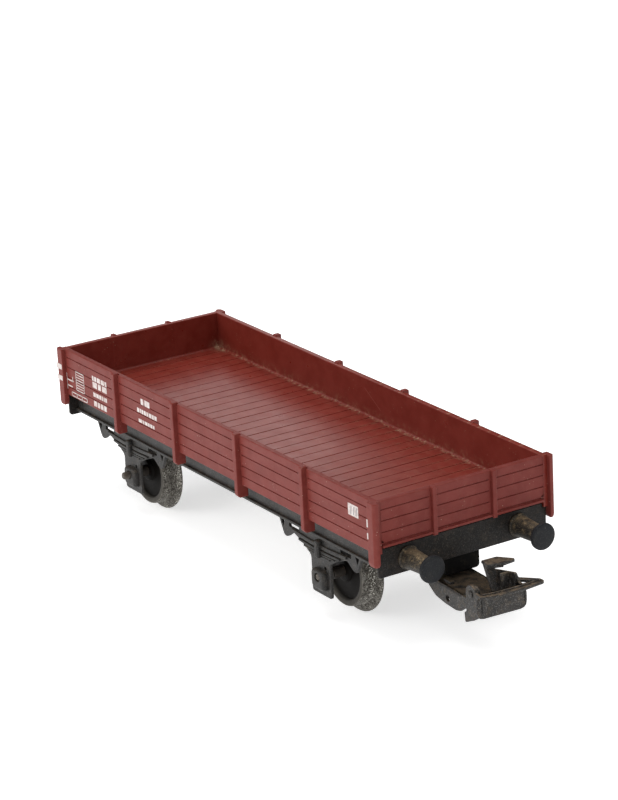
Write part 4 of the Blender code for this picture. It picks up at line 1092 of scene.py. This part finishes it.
@dataclass
class Underframe:
    """The folded underframe: web, solebars, beams, axle guards and leaf springs.

    The leaves' sizes are their half lengths, the heights of their middles, their thicknesses and
    how far they stand out.
    """

    low: Array
    high: Array
    axle_z: float
    wheelbase: float
    sheet: float = 0.5
    width: float = 14.5
    solebar_bottom: float = 14.5
    lip: float = 0.5
    guard: float = 2.85
    guard_bottom: float = 4.35
    spring_reach: float = 10.2
    spring_eye: float = 12.75
    spring_depth: float = 2.3
    hanger: float = 2.3
    hanger_tip: float = 11.4
    bend: float = 0.0065
    buckle: tuple[float, float] = (10.95, 14.0)
    journal_hole: float = 0.75
    small_hole: tuple[float, float] = (1.35, 1.75)
    box_proud: float = 0.9
    leaf_sizes: tuple[tuple[float, float, float, float], ...] = (
        (8.0, 12.86, 0.70, -0.12), (6.0, 12.06, 0.46, -0.08),
        (4.5, 11.58, 0.32, -0.10), (3.1, 11.20, 0.30, -0.12),
    )
    finish: Finish = BLACKENED

    def solebar(self, sign: int) -> Shape:
        """Return one solebar with its turned-out lip: an L section carried along X."""
        face = self.width
        top = self.high[2]
        low = self.solebar_bottom
        section = [
            (face, top), (face, low + self.sheet), (face + self.lip, low + self.sheet),
            (face + self.lip, low), (face - self.sheet, low), (face - self.sheet, top),
        ]
        outline = [(sign * y, z) for y, z in section]
        return prism(outline, Axis.X, self.low[0] + 0.3, self.high[0] - 0.3, 0.1, 0.16)

    def plate_outline(self, axle_x: float) -> list[tuple[float, float]]:
        """Return a guard's outline with its springs, from the left below the solebar."""
        tip, hang, leaf = self.spring_reach, self.hanger, self.spring_eye - self.spring_depth
        half = [
            (-tip - hang, self.solebar_bottom + 0.3), (-tip - 0.3 * hang, self.hanger_tip + 0.2),
            (-tip, self.hanger_tip), (-tip + 0.35 * hang, self.hanger_tip + 0.3),
            (-tip + hang, self.spring_eye), (-0.5 * tip, self.spring_eye - 0.45 * self.spring_depth),
            (-self.guard, leaf), (-self.guard, self.guard_bottom + 0.3),
            (-self.guard + 0.3, self.guard_bottom),
        ]
        return [(axle_x + x, z) for x, z in half] + [(axle_x - x, z) for x, z in reversed(half)]

    def holes(self, axle_x: float, sign: int) -> list[Shape]:
        """Return what is cut from a guard: journal hole, small hole, gaps by spring and hangers."""
        face = sign * self.width
        start, stop = face - 2.0, face + 2.0
        made = [
            turned(
                [(-2.5, self.journal_hole), (2.5, self.journal_hole)], Axis.Y,
                (axle_x, face, self.axle_z), facets=32,
            ),
            turned(
                [(-2.5, 0.35), (2.5, 0.35)], Axis.Y,
                (axle_x + self.small_hole[0], face, self.axle_z + self.small_hole[1]), facets=24,
            ),
        ]
        for edge in (-1, 1):
            near = axle_x + edge * 0.60 * self.spring_reach
            far = axle_x + edge * (self.spring_reach - 0.45 * self.hanger)
            low = self.spring_eye + 0.72
            gap = [(near, low), (far, low), (far, self.solebar_bottom), (near, self.solebar_bottom)]
            made.append(prism(gap, Axis.Y, start, stop, 0.02, 0.2))
            middle = axle_x + edge * (self.spring_reach + 0.8)
            reach = 0.30 * self.hanger
            hole = [
                (middle - reach, self.solebar_bottom), (middle, self.hanger_tip + 1.5),
                (middle + reach, self.solebar_bottom),
            ]
            made.append(prism(hole, Axis.Y, start, stop, 0.02, 0.15))
        return made

    def guard_plate(self, axle_x: float, sign: int) -> Shape:
        """Return a guard's plate with its turned-in flanges."""
        face, inner = sign * self.width, sign * (self.width - self.sheet)
        start, stop = sorted((face, inner))
        plate = prism(self.plate_outline(axle_x), Axis.Y, start, stop, 0.12, 0.45)
        high = self.spring_eye - self.spring_depth + 0.5
        low = self.guard_bottom + 0.5
        flange = [
            (face - sign * 0.12, low), (inner - sign * 0.15, low), (inner - sign * 1.3, high),
            (face - sign * 0.12, high),
        ]
        made = [plate]
        for edge in (-1, 1):
            ends = sorted((axle_x + edge * self.guard, axle_x + edge * (self.guard - self.sheet)))
            made.append(prism(flange, Axis.X, ends[0], ends[1], 0.12, 0.2))
        return join(made)

    def axlebox(self, axle_x: float, sign: int) -> Shape:
        """Return the pressed-out box round a journal, from its hole out to its soft sides.

        Its outline is the superellipse (a |cos t|^0.4, b |sin t|^0.4), with the signs kept.
        """
        angle = np.linspace(0.0, 2 * pi, 96, endpoint=False)
        ring = np.stack([np.cos(angle), np.sin(angle)], axis=1)
        outer = np.sign(ring) * np.abs(ring) ** 0.4 * [1.9, 1.75] + [0.0, -0.45]
        hole, proud = self.journal_hole, self.box_proud
        rows = [
            (ring * hole, -0.3), (ring * hole, proud - 0.06), (ring * (hole + 0.06), proud),
            (outer * 0.72, proud), (outer * 0.86, proud - 0.06), (outer * 0.95, proud - 0.24),
            (outer, proud - 0.5), (outer, -0.3),
        ]
        flat = np.stack([row for row, _ in rows])
        level = np.array([out for _, out in rows])[:, None]
        face = np.broadcast_to(sign * (self.width + level), flat.shape[:2])
        points = np.stack([axle_x + flat[:, :, 0], face, self.axle_z + flat[:, :, 1]], axis=-1)
        worn = np.isin(np.arange(len(rows)), (1, 3))
        return carry(points * MM, worn[:, None], True)

    def spring(self, axle_x: float, sign: int) -> Shape:
        """Return the leaf spring of a guard: its leaves and the buckle round their middle.

        A leaf is a rounded strip carried along X. Its middle is at z0 + bend * x^2, so it hangs
        lowest at the buckle, and each leaf below the first is shorter and thinner.
        """
        made = []
        for half, middle, thick, out in self.leaf_sizes:
            x = np.linspace(-half, half, 33)
            taper = 1 - 0.35 * (np.abs(x) / half) ** 6
            strip = rounded([(-0.4, -0.5), (0.4, -0.5), (0.4, 0.5), (-0.4, 0.5)], 0.14)
            z = middle + self.bend * x**2
            high = z[:, None] + strip[None, :, 1] * thick * taper[:, None]
            y = np.broadcast_to(sign * (self.width + out + strip[:, 0])[None], high.shape)
            points = np.stack([np.broadcast_to(axle_x + x[:, None], high.shape), y, high], axis=-1)
            made.append(carry(points * MM, (np.abs(strip[:, 1]) > 0.3)[None]))
        face = sign * self.width
        start, stop = sorted((face + sign * 0.85, face - sign * 0.2))
        low, high_z = self.buckle
        outline = [
            (axle_x - 0.55, low), (axle_x + 0.55, low), (axle_x + 0.65, high_z), (axle_x - 0.65, high_z),
        ]
        made.append(prism(outline, Axis.Y, start, stop, 0.32, 0.3))
        return join(made)

    def beams(self) -> Shape:
        """Return the web and the two buffer beams, whose ends are cut to a slant."""
        top = self.high[2]
        reach = self.width - 0.2
        web = box((self.low[0] + 0.3, -reach, top - self.sheet), (self.high[0] - 0.3, reach, top), 0.08)
        made = [web]
        outline = [
            (-16.25, 14.2), (-15.9, 13.8), (15.9, 13.8), (16.25, 14.2), (16.25, 17.9),
            (15.5, 17.95), (15.5, top - 0.3), (-15.5, top - 0.3), (-15.5, 17.95), (-16.25, 17.9),
        ]
        for sign in (-1, 1):
            start, stop = sorted((sign * self.high[0], sign * (self.high[0] - self.sheet)))
            made.append(prism(outline, Axis.X, start, stop, 0.12, 0.15))
        return join(made)

    def build(self) -> None:
        """Make and dress every surface of the underframe."""
        web = self.beams().piece("frame_web_and_beams", BEAM_SHADED, "wagon")
        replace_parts(web, "underframe")
        for side, sign in (("right", -1), ("left", 1)):
            self.solebar(sign).piece(f"solebar_{side}", self.finish, "wagon")
            for place, end in (("front", 1), ("rear", -1)):
                axle_x = end * self.wheelbase / 2
                cut = self.holes(axle_x, sign)
                name = f"{place}_{side}"
                plate = self.guard_plate(axle_x, sign)
                plate.piece(f"axle_guard_{name}", self.finish, "wagon", cut)
                self.axlebox(axle_x, sign).piece(f"axlebox_{name}", self.finish, "wagon")
                self.spring(axle_x, sign).piece(f"leaf_spring_{name}", self.finish, "wagon")


# ---------------------------------------------------------------- wheels


@dataclass
class Wheelset:
    """Two cast wheels on a turned axle."""

    place: str
    axle_x: float
    axle_z: float
    wheel_width: float = 3.3
    tread: float = 6.1
    dish: float = 5.05
    hub: float = 1.9
    bore: float = 1.05

    def profile(self) -> tuple[Array, Array]:
        """Return a wheel's section from its back outwards, and which stretches shine."""
        flange = self.axle_z
        width = self.wheel_width
        rows = [
            (0.0, self.bore, False), (0.0, 3.0, False), (0.12, 3.3, False), (0.12, 5.6, False),
            (0.0, 5.9, False), (0.0, flange - 0.42, True), (0.06, flange - 0.22, True),
            (0.2, flange - 0.07, True), (0.38, flange, True), (0.52, flange, True),
            (0.68, flange - 0.10, True), (0.78, flange - 0.35, True), (0.84, flange - 0.8, True),
            (0.92, self.tread + 0.24, True), (1.10, self.tread + 0.17, True),
            (1.55, self.tread + 0.12, False), (2.2, self.tread + 0.06, False),
            (width - 0.3, self.tread, False), (width - 0.1, self.tread - 0.07, False),
            (width, self.tread - 0.25, False), (width, self.tread - 0.5, False),
            (width - 0.05, self.dish + 0.15, False), (width - 0.15, self.dish, False),
            (width - 0.7, self.dish - 0.22, False), (width - 0.78, self.dish - 0.6, False),
            (width - 0.72, 3.2, False), (width - 0.6, self.hub + 0.15, False),
            (width - 0.15, self.hub - 0.05, False), (width - 0.05, self.hub - 0.25, False),
            (width - 0.05, self.bore, False),
        ]
        table = np.array([row[:2] for row in rows])
        return table, np.array([row[2] for row in rows])

    def build(self) -> None:
        """Make both wheels and the axle."""
        body = f"wheelset_{self.place}"
        metal = TreadFinish(
            f"cast_wheel_{self.place}", "wheel_metal", (0.190, 0.180, 0.160), (0.120, 0.112, 0.097),
            (0.24, 0.20, 0.14), (0.50, 0.48, 0.43), dusty=0.4, flecks=0.6, wear=0.7,
            roughness=0.5, metallic=0.0, bump=0.6, gloss=0.06, centre=(self.axle_x, self.axle_z),
            dish=self.dish, tread=self.tread,
        )
        table, worn = self.profile()
        for side, sign in (("right", -1), ("left", 1)):
            node = f"wheel_{self.place}_{side}"
            low, high = corners(node)
            back = high[1] if sign < 0 else low[1]
            pairs = np.stack([sign * table[:, 0], table[:, 1]], axis=1)
            shape = turned(pairs, Axis.Y, (self.axle_x, back, self.axle_z), worn, 128, True)
            wheel = shape.piece(f"cast_wheel_{self.place}_{side}", metal, body)
            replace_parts(wheel, node)
        low, high = corners(f"axle_{self.place}")
        half = (high[1] - low[1]) / 2
        middle = (high[1] + low[1]) / 2
        end = [
            (half, 0.12), (half, 0.35), (half - 0.04, 0.47), (half - 0.16, 0.60), (half - 0.3, 0.65),
            (half - 2.7, 0.65), (half - 2.8, 0.70), (half - 2.8, 0.93), (half - 2.9, 1.0),
            (6.0, 1.0), (5.8, 0.94),
        ]
        pairs = np.array(end + [(-at, radius) for at, radius in reversed(end)])
        shape = turned(pairs, Axis.Y, (self.axle_x, middle, self.axle_z), False, 48)
        axle = shape.piece(f"turned_axle_{self.place}", AXLE, body)
        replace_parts(axle, f"axle_{self.place}")
        for side, sign in (("right", -1), ("left", 1)):
            face = middle + sign * (half - 0.02)
            rim = [(0.0, 0.1), (0.0, 0.42), (-0.05 * sign, 0.42), (-0.05 * sign, 0.1)]
            cap = turned(rim[::sign], Axis.Y, (self.axle_x, face, self.axle_z), False, 32)
            cap.piece(f"polished_end_{self.place}_{side}", STEEL, body)


# ---------------------------------------------------------------- buffers and couplers


@dataclass
class Buffer:
    """One buffer: a tapered, dusty barrel with a collar, and a slightly domed head."""

    node: str
    end: int
    head: float = 2.25
    base: float = 1.75
    tip: float = 1.45
    dome: float = 0.10

    def build(self) -> None:
        """Make the barrel and the head."""
        low, high = corners(self.node)
        y, z = (low[1] + high[1]) / 2, (low[2] + high[2]) / 2
        face = high[0] if self.end > 0 else -low[0]
        root = (low[0] if self.end > 0 else -high[0]) + 1.0
        back = face - 0.7
        neck = back - 0.6
        barrel = [
            (root - 1.0, 0.9), (root - 0.1, 0.9), (root, 0.98), (root, self.base + 0.12),
            (root + 0.06, self.base + 0.2), (root + 0.34, self.base + 0.2),
            (root + 0.42, self.base + 0.1), (root + 0.46, self.base), (root + 1.4, self.base - 0.05),
            (neck - 0.8, self.tip + 0.05), (neck - 0.42, self.tip), (neck - 0.35, self.tip - 0.1),
            (neck - 0.33, 1.15), (neck - 0.02, 1.13), (neck + 0.06, 0.6), (neck + 0.06, 0.1),
        ]
        head = [
            (neck - 0.02, 0.1), (neck - 0.02, self.tip - 0.05), (neck + 0.08, self.tip + 0.02),
            (back - 0.12, self.head - 0.16), (back, self.head - 0.02), (back + 0.12, self.head),
            (face - 0.3, self.head), (face - 0.2, self.head - 0.04), (face - 0.13, self.head - 0.13),
        ]
        rise = np.linspace(self.head - 0.3, 0.12, 8)
        domed = [(face - self.dome * (radius / self.head) ** 2, radius) for radius in rise]
        head += domed
        worn = np.zeros(len(head) - 1, bool)
        worn[4:9] = True
        for part, rows, mark, finish in (
            ("barrel", barrel, False, BARREL), ("head", head, worn, BUFFER)
        ):
            pairs = np.array(rows) * np.array([self.end, 1.0])
            shape = turned(pairs, Axis.X, (0.0, y, z), mark, 64)
            piece = shape.piece(f"{self.node}_{part}", finish, "wagon")
            if part == "head":
                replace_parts(piece, self.node)


@dataclass
class Coupler:
    """One hook and bow coupler, folded from sheet, with its rivets and wire spring."""

    place: str
    end: int
    sheet: float = 0.5
    pivot_x: float = 42.0
    swing: float = -3.2
    top_z: float = 9.75
    width: float = 7.2
    depth: float = 3.3
    pin: tuple[float, float] = (59.6, 11.25)
    ear: float = 1.5
    reach: float = 2.8
    drop: float = 3.4
    horn: float = 3.5
    overhang: float = 0.6
    hook_top: float = 13.95
    wire: float = 0.15
    coil_radius: float = 1.2
    turns: int = 3

    def set_in(self, shape: Shape, swings: bool = True) -> Shape:
        """Turn a shape to its end of the wagon, and about the rivet as the coupler rests."""
        angle = pi if self.end < 0 else radians(self.swing) if swings else 0.0
        ahead, aside = cos(angle), sin(angle)
        turn = np.array([[ahead, -aside, 0.0], [aside, ahead, 0.0], [0.0, 0.0, 1.0]])
        centre = np.array([self.pivot_x if self.end > 0 and swings else 0.0, 0.0, 0.0])
        return shape.moved(turn, centre - turn @ centre)

    def arc(
        self, centre: Sequence[float], radius: float, first: float, last: float
    ) -> list[tuple[float, float]]:
        """Return points on an arc, from one angle in degrees to another."""
        angle = np.radians(np.linspace(first, last, 9))
        return list(zip(centre[0] + radius * np.cos(angle), centre[1] + radius * np.sin(angle)))

    def drawbar(self) -> tuple[Shape, list[Shape]]:
        """Return the drawbar's plates and what is cut from them."""
        half, tail, low = self.width / 2, 2.2, self.top_z - self.sheet
        front = [(44.8, -tail), (45.8, -half), (55.9, -half), (56.4, -1.5), (59.4, -1.5)]
        rim = self.arc((self.pivot_x, 0.0), tail, 90, 270)
        plate = prism(rim + front + [(x, -y) for x, y in reversed(front)], Axis.Z, low, self.top_z, 0.1, 0.2)
        bottom = self.top_z - self.depth
        side = [
            (45.8, self.top_z), (45.8, self.top_z - 1.5), (48.0, bottom + 0.5), (50.8, bottom + 0.1),
            (54.0, bottom), (55.4, bottom + 0.3), (57.0, bottom + 1.4), (59.9, bottom + 1.8),
            (60.9, self.top_z),
        ]
        near = side + self.arc(self.pin, 1.25, 0, 180) + [(58.0, self.top_z)]
        cheek = side + [(61.0, 11.9), (61.3, 12.9), (60.9, 13.5), (54.4, 12.0), (52.6, self.top_z)]
        made = [plate, prism(near, Axis.Y, -half, self.sheet - half, 0.12, 0.3)]
        made.append(prism(cheek, Axis.Y, half - self.sheet, half, 0.12, 0.3))
        cutters = [
            turned(
                [(-1.0, 0.55), (1.0, 0.55)], Axis.Y, (51.7, -half, self.top_z - 0.62 * self.depth),
                facets=32,
            ),
            turned([(-1.0, 0.85), (1.0, 0.85)], Axis.Z, (self.pivot_x, 0.0, self.top_z), facets=32),
            box((49.5, 0.7 - half, low - 0.5), (51.5, 1.5 - half, self.top_z + 0.5), 0.1),
        ]
        return join(made), cutters

    def hook(self) -> Shape:
        """Return the hook: a foot, a bar that leans back and a turned-over flag with a lip."""
        foot, front = self.top_z + 0.05, self.pin[0] - 0.1
        back = front - 3.4
        thick, top = self.sheet, self.hook_top + 0.25
        bar = [
            (front - 1.6, foot), (front, foot), (front, foot + thick), (back + 2.2 * thick, top + 0.3),
            (back, top + 0.3), (front - 1.8 * thick, foot + thick), (front - 1.6, foot + thick),
        ]
        flag = [
            (back - 0.1, 0.1), (back + 2.0, 0.0), (back + 2.9, 2.6), (back + 2.6, 4.7),
            (back + 2.1, 4.9), (back - 0.1, 3.0),
        ]
        made = [prism(bar, Axis.Y, 0.15, 1.65, 0.1, 0.14)]
        made.append(prism(flag, Axis.Z, top, top + thick, 0.12, 0.2))
        lip = [(back + 1.5, 0.05), (back + 1.95, 0.05), (back + 2.8, 2.5), (back + 2.3, 2.5)]
        made.append(prism(lip, Axis.Z, top - 0.3, top + 0.2, 0.12, 0.12))
        tongue = [
            (front + 0.3, foot), (front + 0.75, foot), (front - 0.1, top - 1.0), (front - 0.5, top - 1.0),
        ]
        made.append(prism(tongue, Axis.Y, 1.5, 3.1, 0.1, 0.15))
        return join(made)

    def bow(self) -> Shape:
        """Return the bow: a front skirt, a bar with a braced horn, and two ears with tails."""
        half = self.width / 2 + 0.1 + self.sheet
        x, z = self.pin
        front, top, bottom = x + self.reach, z + 0.45, z - self.drop
        left, right = half + self.overhang, half + 0.2
        skirt = [(-left, bottom), (right, bottom), (right, top - 0.1), (-left, top - 0.1)]
        made = [prism(skirt, Axis.X, front - self.sheet, front, 0.14, 1.25)]
        upper = [(x - self.ear, z - 3.5)] + self.arc(self.pin, self.ear, 180, 20) + [(front, top)]
        upper += [(front, bottom + 0.5)]
        tails = {
            -1: [(x + 0.6, bottom - 0.9), (x - 1.9, z - 5.4), (x - 2.1, z - 3.6)],
            1: [(x + 0.5, bottom - 0.4), (x - 0.4, z - 5.0), (x - 1.2, z - 4.5)],
        }
        for sign, tail in tails.items():
            start, stop = sorted((sign * half, sign * (half - self.sheet)))
            made.append(prism((upper + tail)[::-1], Axis.Y, start, stop, 0.12, 0.3))
        bulge = front + 0.9
        bar = [
            (front - 0.6, -half), (front + 0.1, -half), (bulge - 0.2, 1.6 - half), (bulge, 3.0 - half),
            (bulge, half - 0.6), (front + 0.35, half + self.horn - 0.3), (front - 0.2, half + self.horn),
            (front - 0.75, half + self.horn - 0.3), (front - 0.1, half + 0.3), (front - 0.6, half - 1.0),
        ]
        made.append(prism(bar, Axis.Z, top - self.sheet, top, 0.14, 0.35))
        brace = [
            (front - 3.6, half - 0.2), (front - 2.8, half - 0.2), (front - 0.4, half + self.horn - 1.0),
            (front - 0.25, half + self.horn - 0.1), (front - 0.9, half + self.horn - 0.2),
            (front - 3.6, half + 0.5),
        ]
        made.append(prism(brace, Axis.Z, top - self.sheet + 0.05, top + 0.05, 0.14, 0.25))
        ridge = [
            (front - 0.25, 0.6 - half), (bulge - 0.75, 2.6 - half), (bulge - 0.7, half - 0.6),
            (front - 0.3, half + self.horn - 0.8), (front - 0.6, half + self.horn - 0.9),
            (bulge - 1.1, half - 0.7), (bulge - 1.1, 2.8 - half), (front - 0.55, 0.7 - half),
        ]
        made.append(prism(ridge, Axis.Z, top - 0.1, top + 0.22, 0.1, 0.14))
        return join(made)

    def rivet(self, sign: int) -> Shape:
        """Return one of the bow's rivets: a shank with two domed heads."""
        inner, outer = self.width / 2 - self.sheet - 0.05, self.width / 2 + 0.1 + self.sheet + 0.05
        pairs = [
            (inner - 0.28, 0.1), (inner - 0.22, 0.45), (inner - 0.05, 0.68), (inner, 0.68), (inner, 0.4),
            (outer, 0.4), (outer, 0.62), (outer + 0.06, 0.62), (outer + 0.17, 0.42), (outer + 0.22, 0.1),
        ]
        table = np.array(pairs) * [sign, 1.0]
        return turned(table, Axis.Y, (self.pin[0], 0.0, self.pin[1]), False, 32)

    def bracket(self) -> Shape:
        """Return the folded bracket: a deep rear, a shallower front and turned-out feet."""
        low, high = corners(f"coupler_bracket_{self.place}")
        start, stop = (low[0], high[0]) if self.end > 0 else (-high[0], -low[0])
        half = high[1]
        section = [
            (-half, high[2]), (-half, low[2] + 0.6), (0.4 - half, low[2]), (half - 0.4, low[2]),
            (half, low[2] + 0.6), (half, high[2]),
        ]
        raised = [(y, max(z, low[2] + (0.85 if z < low[2] + 0.3 else 1.2))) for y, z in section]
        made = [prism(section, Axis.X, start, stop - 4.5, 0.18, 0.4)]
        made.append(prism(raised, Axis.X, start + 1.0, stop, 0.18, 0.3))
        for sign in (-1, 1):
            edges = sorted((sign * half, sign * (half + 1.2)))
            made.append(box((start + 1.0, edges[0], high[2] - 0.5), (stop - 1.0, edges[1], high[2]), 0.15))
        return join(made)

    def pivot(self) -> Shape:
        """Return the rivet that the drawbar swings on, with a domed head at each end."""
        low, high = corners(f"coupler_pivot_rivet_{self.place}")
        pairs = [
            (low[2], 0.1), (low[2], 0.9), (low[2] + 0.15, 1.2), (low[2] + 0.3, 1.35), (low[2] + 0.5, 1.35),
            (low[2] + 0.5, 0.8), (high[2] - 0.5, 0.8), (high[2] - 0.5, 1.35), (high[2] - 0.2, 1.3),
            (high[2], 0.9), (high[2], 0.1),
        ]
        return turned(pairs, Axis.Z, (self.pivot_x, 0.0, 0.0), False, 48)

    def coil(self) -> Shape:
        """Return the wire spring: a helix of a few turns.

        The wire's middle runs at (r cos a, r sin a) about the rivet while it sinks with the angle.
        """
        low, high = corners(f"coupler_spring_{self.place}")
        angle = np.linspace(0.0, 2 * pi * self.turns, 40 * self.turns)
        sink = (high[2] - low[2] - 2 * self.wire) * angle / angle[-1]
        x = self.pivot_x + self.coil_radius * np.cos(angle)
        y = self.coil_radius * np.sin(angle)
        path = np.stack([x, y, high[2] - self.wire - sink], axis=1)
        return tube(path, self.wire)

    def build(self) -> None:
        """Make every piece of the coupler."""
        place, bar, bow = self.place, f"drawbar_{self.place}", f"bow_{self.place}"
        shape, holes = self.drawbar()
        cutters = [self.set_in(hole) for hole in holes]
        drawbar = self.set_in(shape).piece(f"folded_drawbar_{place}", COUPLER, bar, cutters)
        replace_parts(drawbar, f"drawbar_{place}")
        for node, name, shape, finish, body in (
            (f"coupler_bow_{place}", f"folded_bow_{place}", self.bow(), COUPLER, bow),
            (f"coupler_hook_{place}", f"folded_hook_{place}", self.hook(), COUPLER, bar),
            (f"bow_rivet_{place}_a", f"domed_rivet_{place}_a", self.rivet(-1), COUPLER, bar),
            (f"bow_rivet_{place}_b", f"domed_rivet_{place}_b", self.rivet(1), COUPLER, bar),
            (f"coupler_spring_{place}", f"coiled_wire_{place}", self.coil(), STEEL, bar),
            (f"coupler_bracket_{place}", f"folded_bracket_{place}", self.bracket(), DARK_STEEL_AND_SHADE, "wagon"),
            (f"coupler_pivot_rivet_{place}", f"pivot_rivet_{place}", self.pivot(), AXLE, "wagon"),
        ):
            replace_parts(self.set_in(shape, body != "wagon").piece(name, finish, body), node)
        # A thin near-black sheet inside the drawbar, behind its round hole and slot: painted shade where the
        # inside of the drawbar shows.
        web = box((49.0, -2.9, 7.2), (53.8, -2.6, self.top_z - 0.6), 0.05)
        self.set_in(web).piece(f"painted_shade_web_{place}", DARK_STEEL_AND_SHADE, bar)


# ---------------------------------------------------------------- stage and camera


@dataclass
class Studio:
    """The pale floor, the soft light and the camera."""

    lens: float = 136.05
    place: tuple[float, float, float] = (415.16, -252.93, 193.92)
    azimuth: float = 58.2517
    elevation: float = 19.0450
    roll: float = -2.9914
    glow: float = 0.62
    dim_azimuth: float = 148.0
    dim_elevation: float = 22.0
    dim_spread: tuple[float, float, float, float] = (0.70, 0.93, 0.60, 0.08)
    panels: tuple[tuple[str, tuple[float, float, float], tuple[float, float], float], ...] = (
        ("left_panel", (-0.25, -0.75, 0.45), (0.6, 0.6), 2.4),
        ("top_panel", (-0.1, 0.0, 0.9), (0.7, 0.7), 4.2),
        ("back_panel", (-0.135, 0.066, 0.095), (0.052, 0.070), 0.017),
    )

    def camera(self) -> None:
        """Aim the camera: back along the view, turned by its roll about that line."""
        az, el, roll = radians(self.azimuth), radians(self.elevation), radians(self.roll)
        back = Vector((sin(az) * cos(el), -cos(az) * cos(el), sin(el)))
        level = Vector((cos(az), sin(az), 0.0))
        upright = back.cross(level)
        right = level * cos(roll) + upright * sin(roll)
        up = upright * cos(roll) - level * sin(roll)
        data = bpy.data.cameras.new("camera")
        data.lens = self.lens
        data.sensor_width = 36.0
        data.clip_start = 0.001
        camera = bpy.data.objects.new("camera", data)
        bpy.context.scene.collection.objects.link(camera)
        turn = Matrix((right, up, back)).transposed().to_4x4()
        camera.matrix_world = Matrix.Translation(Vector(self.place) * MM) @ turn
        bpy.context.scene.camera = camera

    def floor(self) -> None:
        """Lay the floor: a wide white sheet that glows a little, so that shadows stay soft."""
        graph = Graph("pale_floor")
        graph.feed(graph.shader.inputs["Base Color"], (0.86, 0.86, 0.86))
        graph.feed(graph.shader.inputs["Roughness"], 0.8)
        graph.feed(graph.shader.inputs["Emission Color"], (1.0, 1.0, 1.0))
        graph.feed(graph.shader.inputs["Emission Strength"], self.glow)
        mesh = bpy.data.meshes.new("floor")
        reach = 3.0
        mesh.from_pydata(
            [(-reach, -reach, 0.0), (reach, -reach, 0.0), (reach, reach, 0.0), (-reach, reach, 0.0)],
            [], [(0, 1, 2, 3)],
        )
        mesh.materials.append(graph.material)
        sheet = bpy.data.objects.new("floor", mesh)
        bpy.context.scene.collection.objects.link(sheet)

    def surround(self) -> None:
        """Set the even surround, which is dimmer low down behind the wagon.

        Its strength goes smoothly between two values as the cosine of the angle to the dim
        middle goes between two others.
        """
        world = bpy.data.worlds.new("surround")
        world.use_nodes = True
        nodes, links = world.node_tree.nodes, world.node_tree.links
        ray = nodes.new("ShaderNodeTexCoord")
        facing = nodes.new("ShaderNodeVectorMath")
        facing.operation = "DOT_PRODUCT"
        az, el = radians(self.dim_azimuth), radians(self.dim_elevation)
        facing.inputs[1].default_value = (cos(az) * cos(el), sin(az) * cos(el), sin(el))
        spread = nodes.new("ShaderNodeMapRange")
        spread.interpolation_type = "SMOOTHSTEP"
        for key, value in zip(("From Min", "From Max", "To Min", "To Max"), self.dim_spread):
            spread.inputs[key].default_value = value
        links.new(ray.outputs["Generated"], facing.inputs[0])
        links.new(facing.outputs["Value"], spread.inputs["Value"])
        links.new(spread.outputs["Result"], nodes["Background"].inputs["Strength"])
        nodes["Background"].inputs["Color"].default_value = (1.0, 1.0, 1.0, 1.0)
        bpy.context.scene.world = world

    def lights(self) -> None:
        """Hang the soft lights: wide panels at the left and above, and a small one behind."""
        for name, place, size, power in self.panels:
            data = bpy.data.lights.new(name, "AREA")
            data.shape = "RECTANGLE"
            data.size, data.size_y = size
            data.energy = power
            light = bpy.data.objects.new(name, data)
            light.visible_camera = False
            bpy.context.scene.collection.objects.link(light)
            aim = Vector((0.0, 0.0, 0.015)) - Vector(place)
            turn = aim.to_track_quat("-Z", "Y").to_matrix().to_4x4()
            light.matrix_world = Matrix.Translation(place) @ turn

    def build(self) -> None:
        """Set up the camera, the floor, the lights and a plain view of colours."""
        self.camera()
        self.floor()
        self.surround()
        self.lights()
        bpy.context.scene.view_settings.view_transform = "Standard"


def main() -> None:
    """Build the wagon and its studio."""
    logging.basicConfig(level=logging.INFO, format="%(name)s %(message)s")
    Studio().build()
    low, high = corners("wagon_body")
    WagonBody(low, high).build()
    low, high = corners("underframe")
    wheel_low, wheel_high = corners("wheel_front_right")
    axle_z = (wheel_low[2] + wheel_high[2]) / 2
    axle_x = (wheel_low[0] + wheel_high[0]) / 2
    Underframe(low, high, axle_z, 2 * axle_x).build()
    for place, end in (("front", 1), ("rear", -1)):
        Wheelset(place, end * axle_x, axle_z).build()
        Buffer(f"buffer_{place}_a", end).build()
        Buffer(f"buffer_{place}_b", end).build()
        Coupler(place, end).build()
        refine(f"body_screw_{place}", STEEL, "wagon", 0.06)
    refine("ballast_plate", STEEL, "wagon", 0.12)


if __name__ == "__main__":
    main()
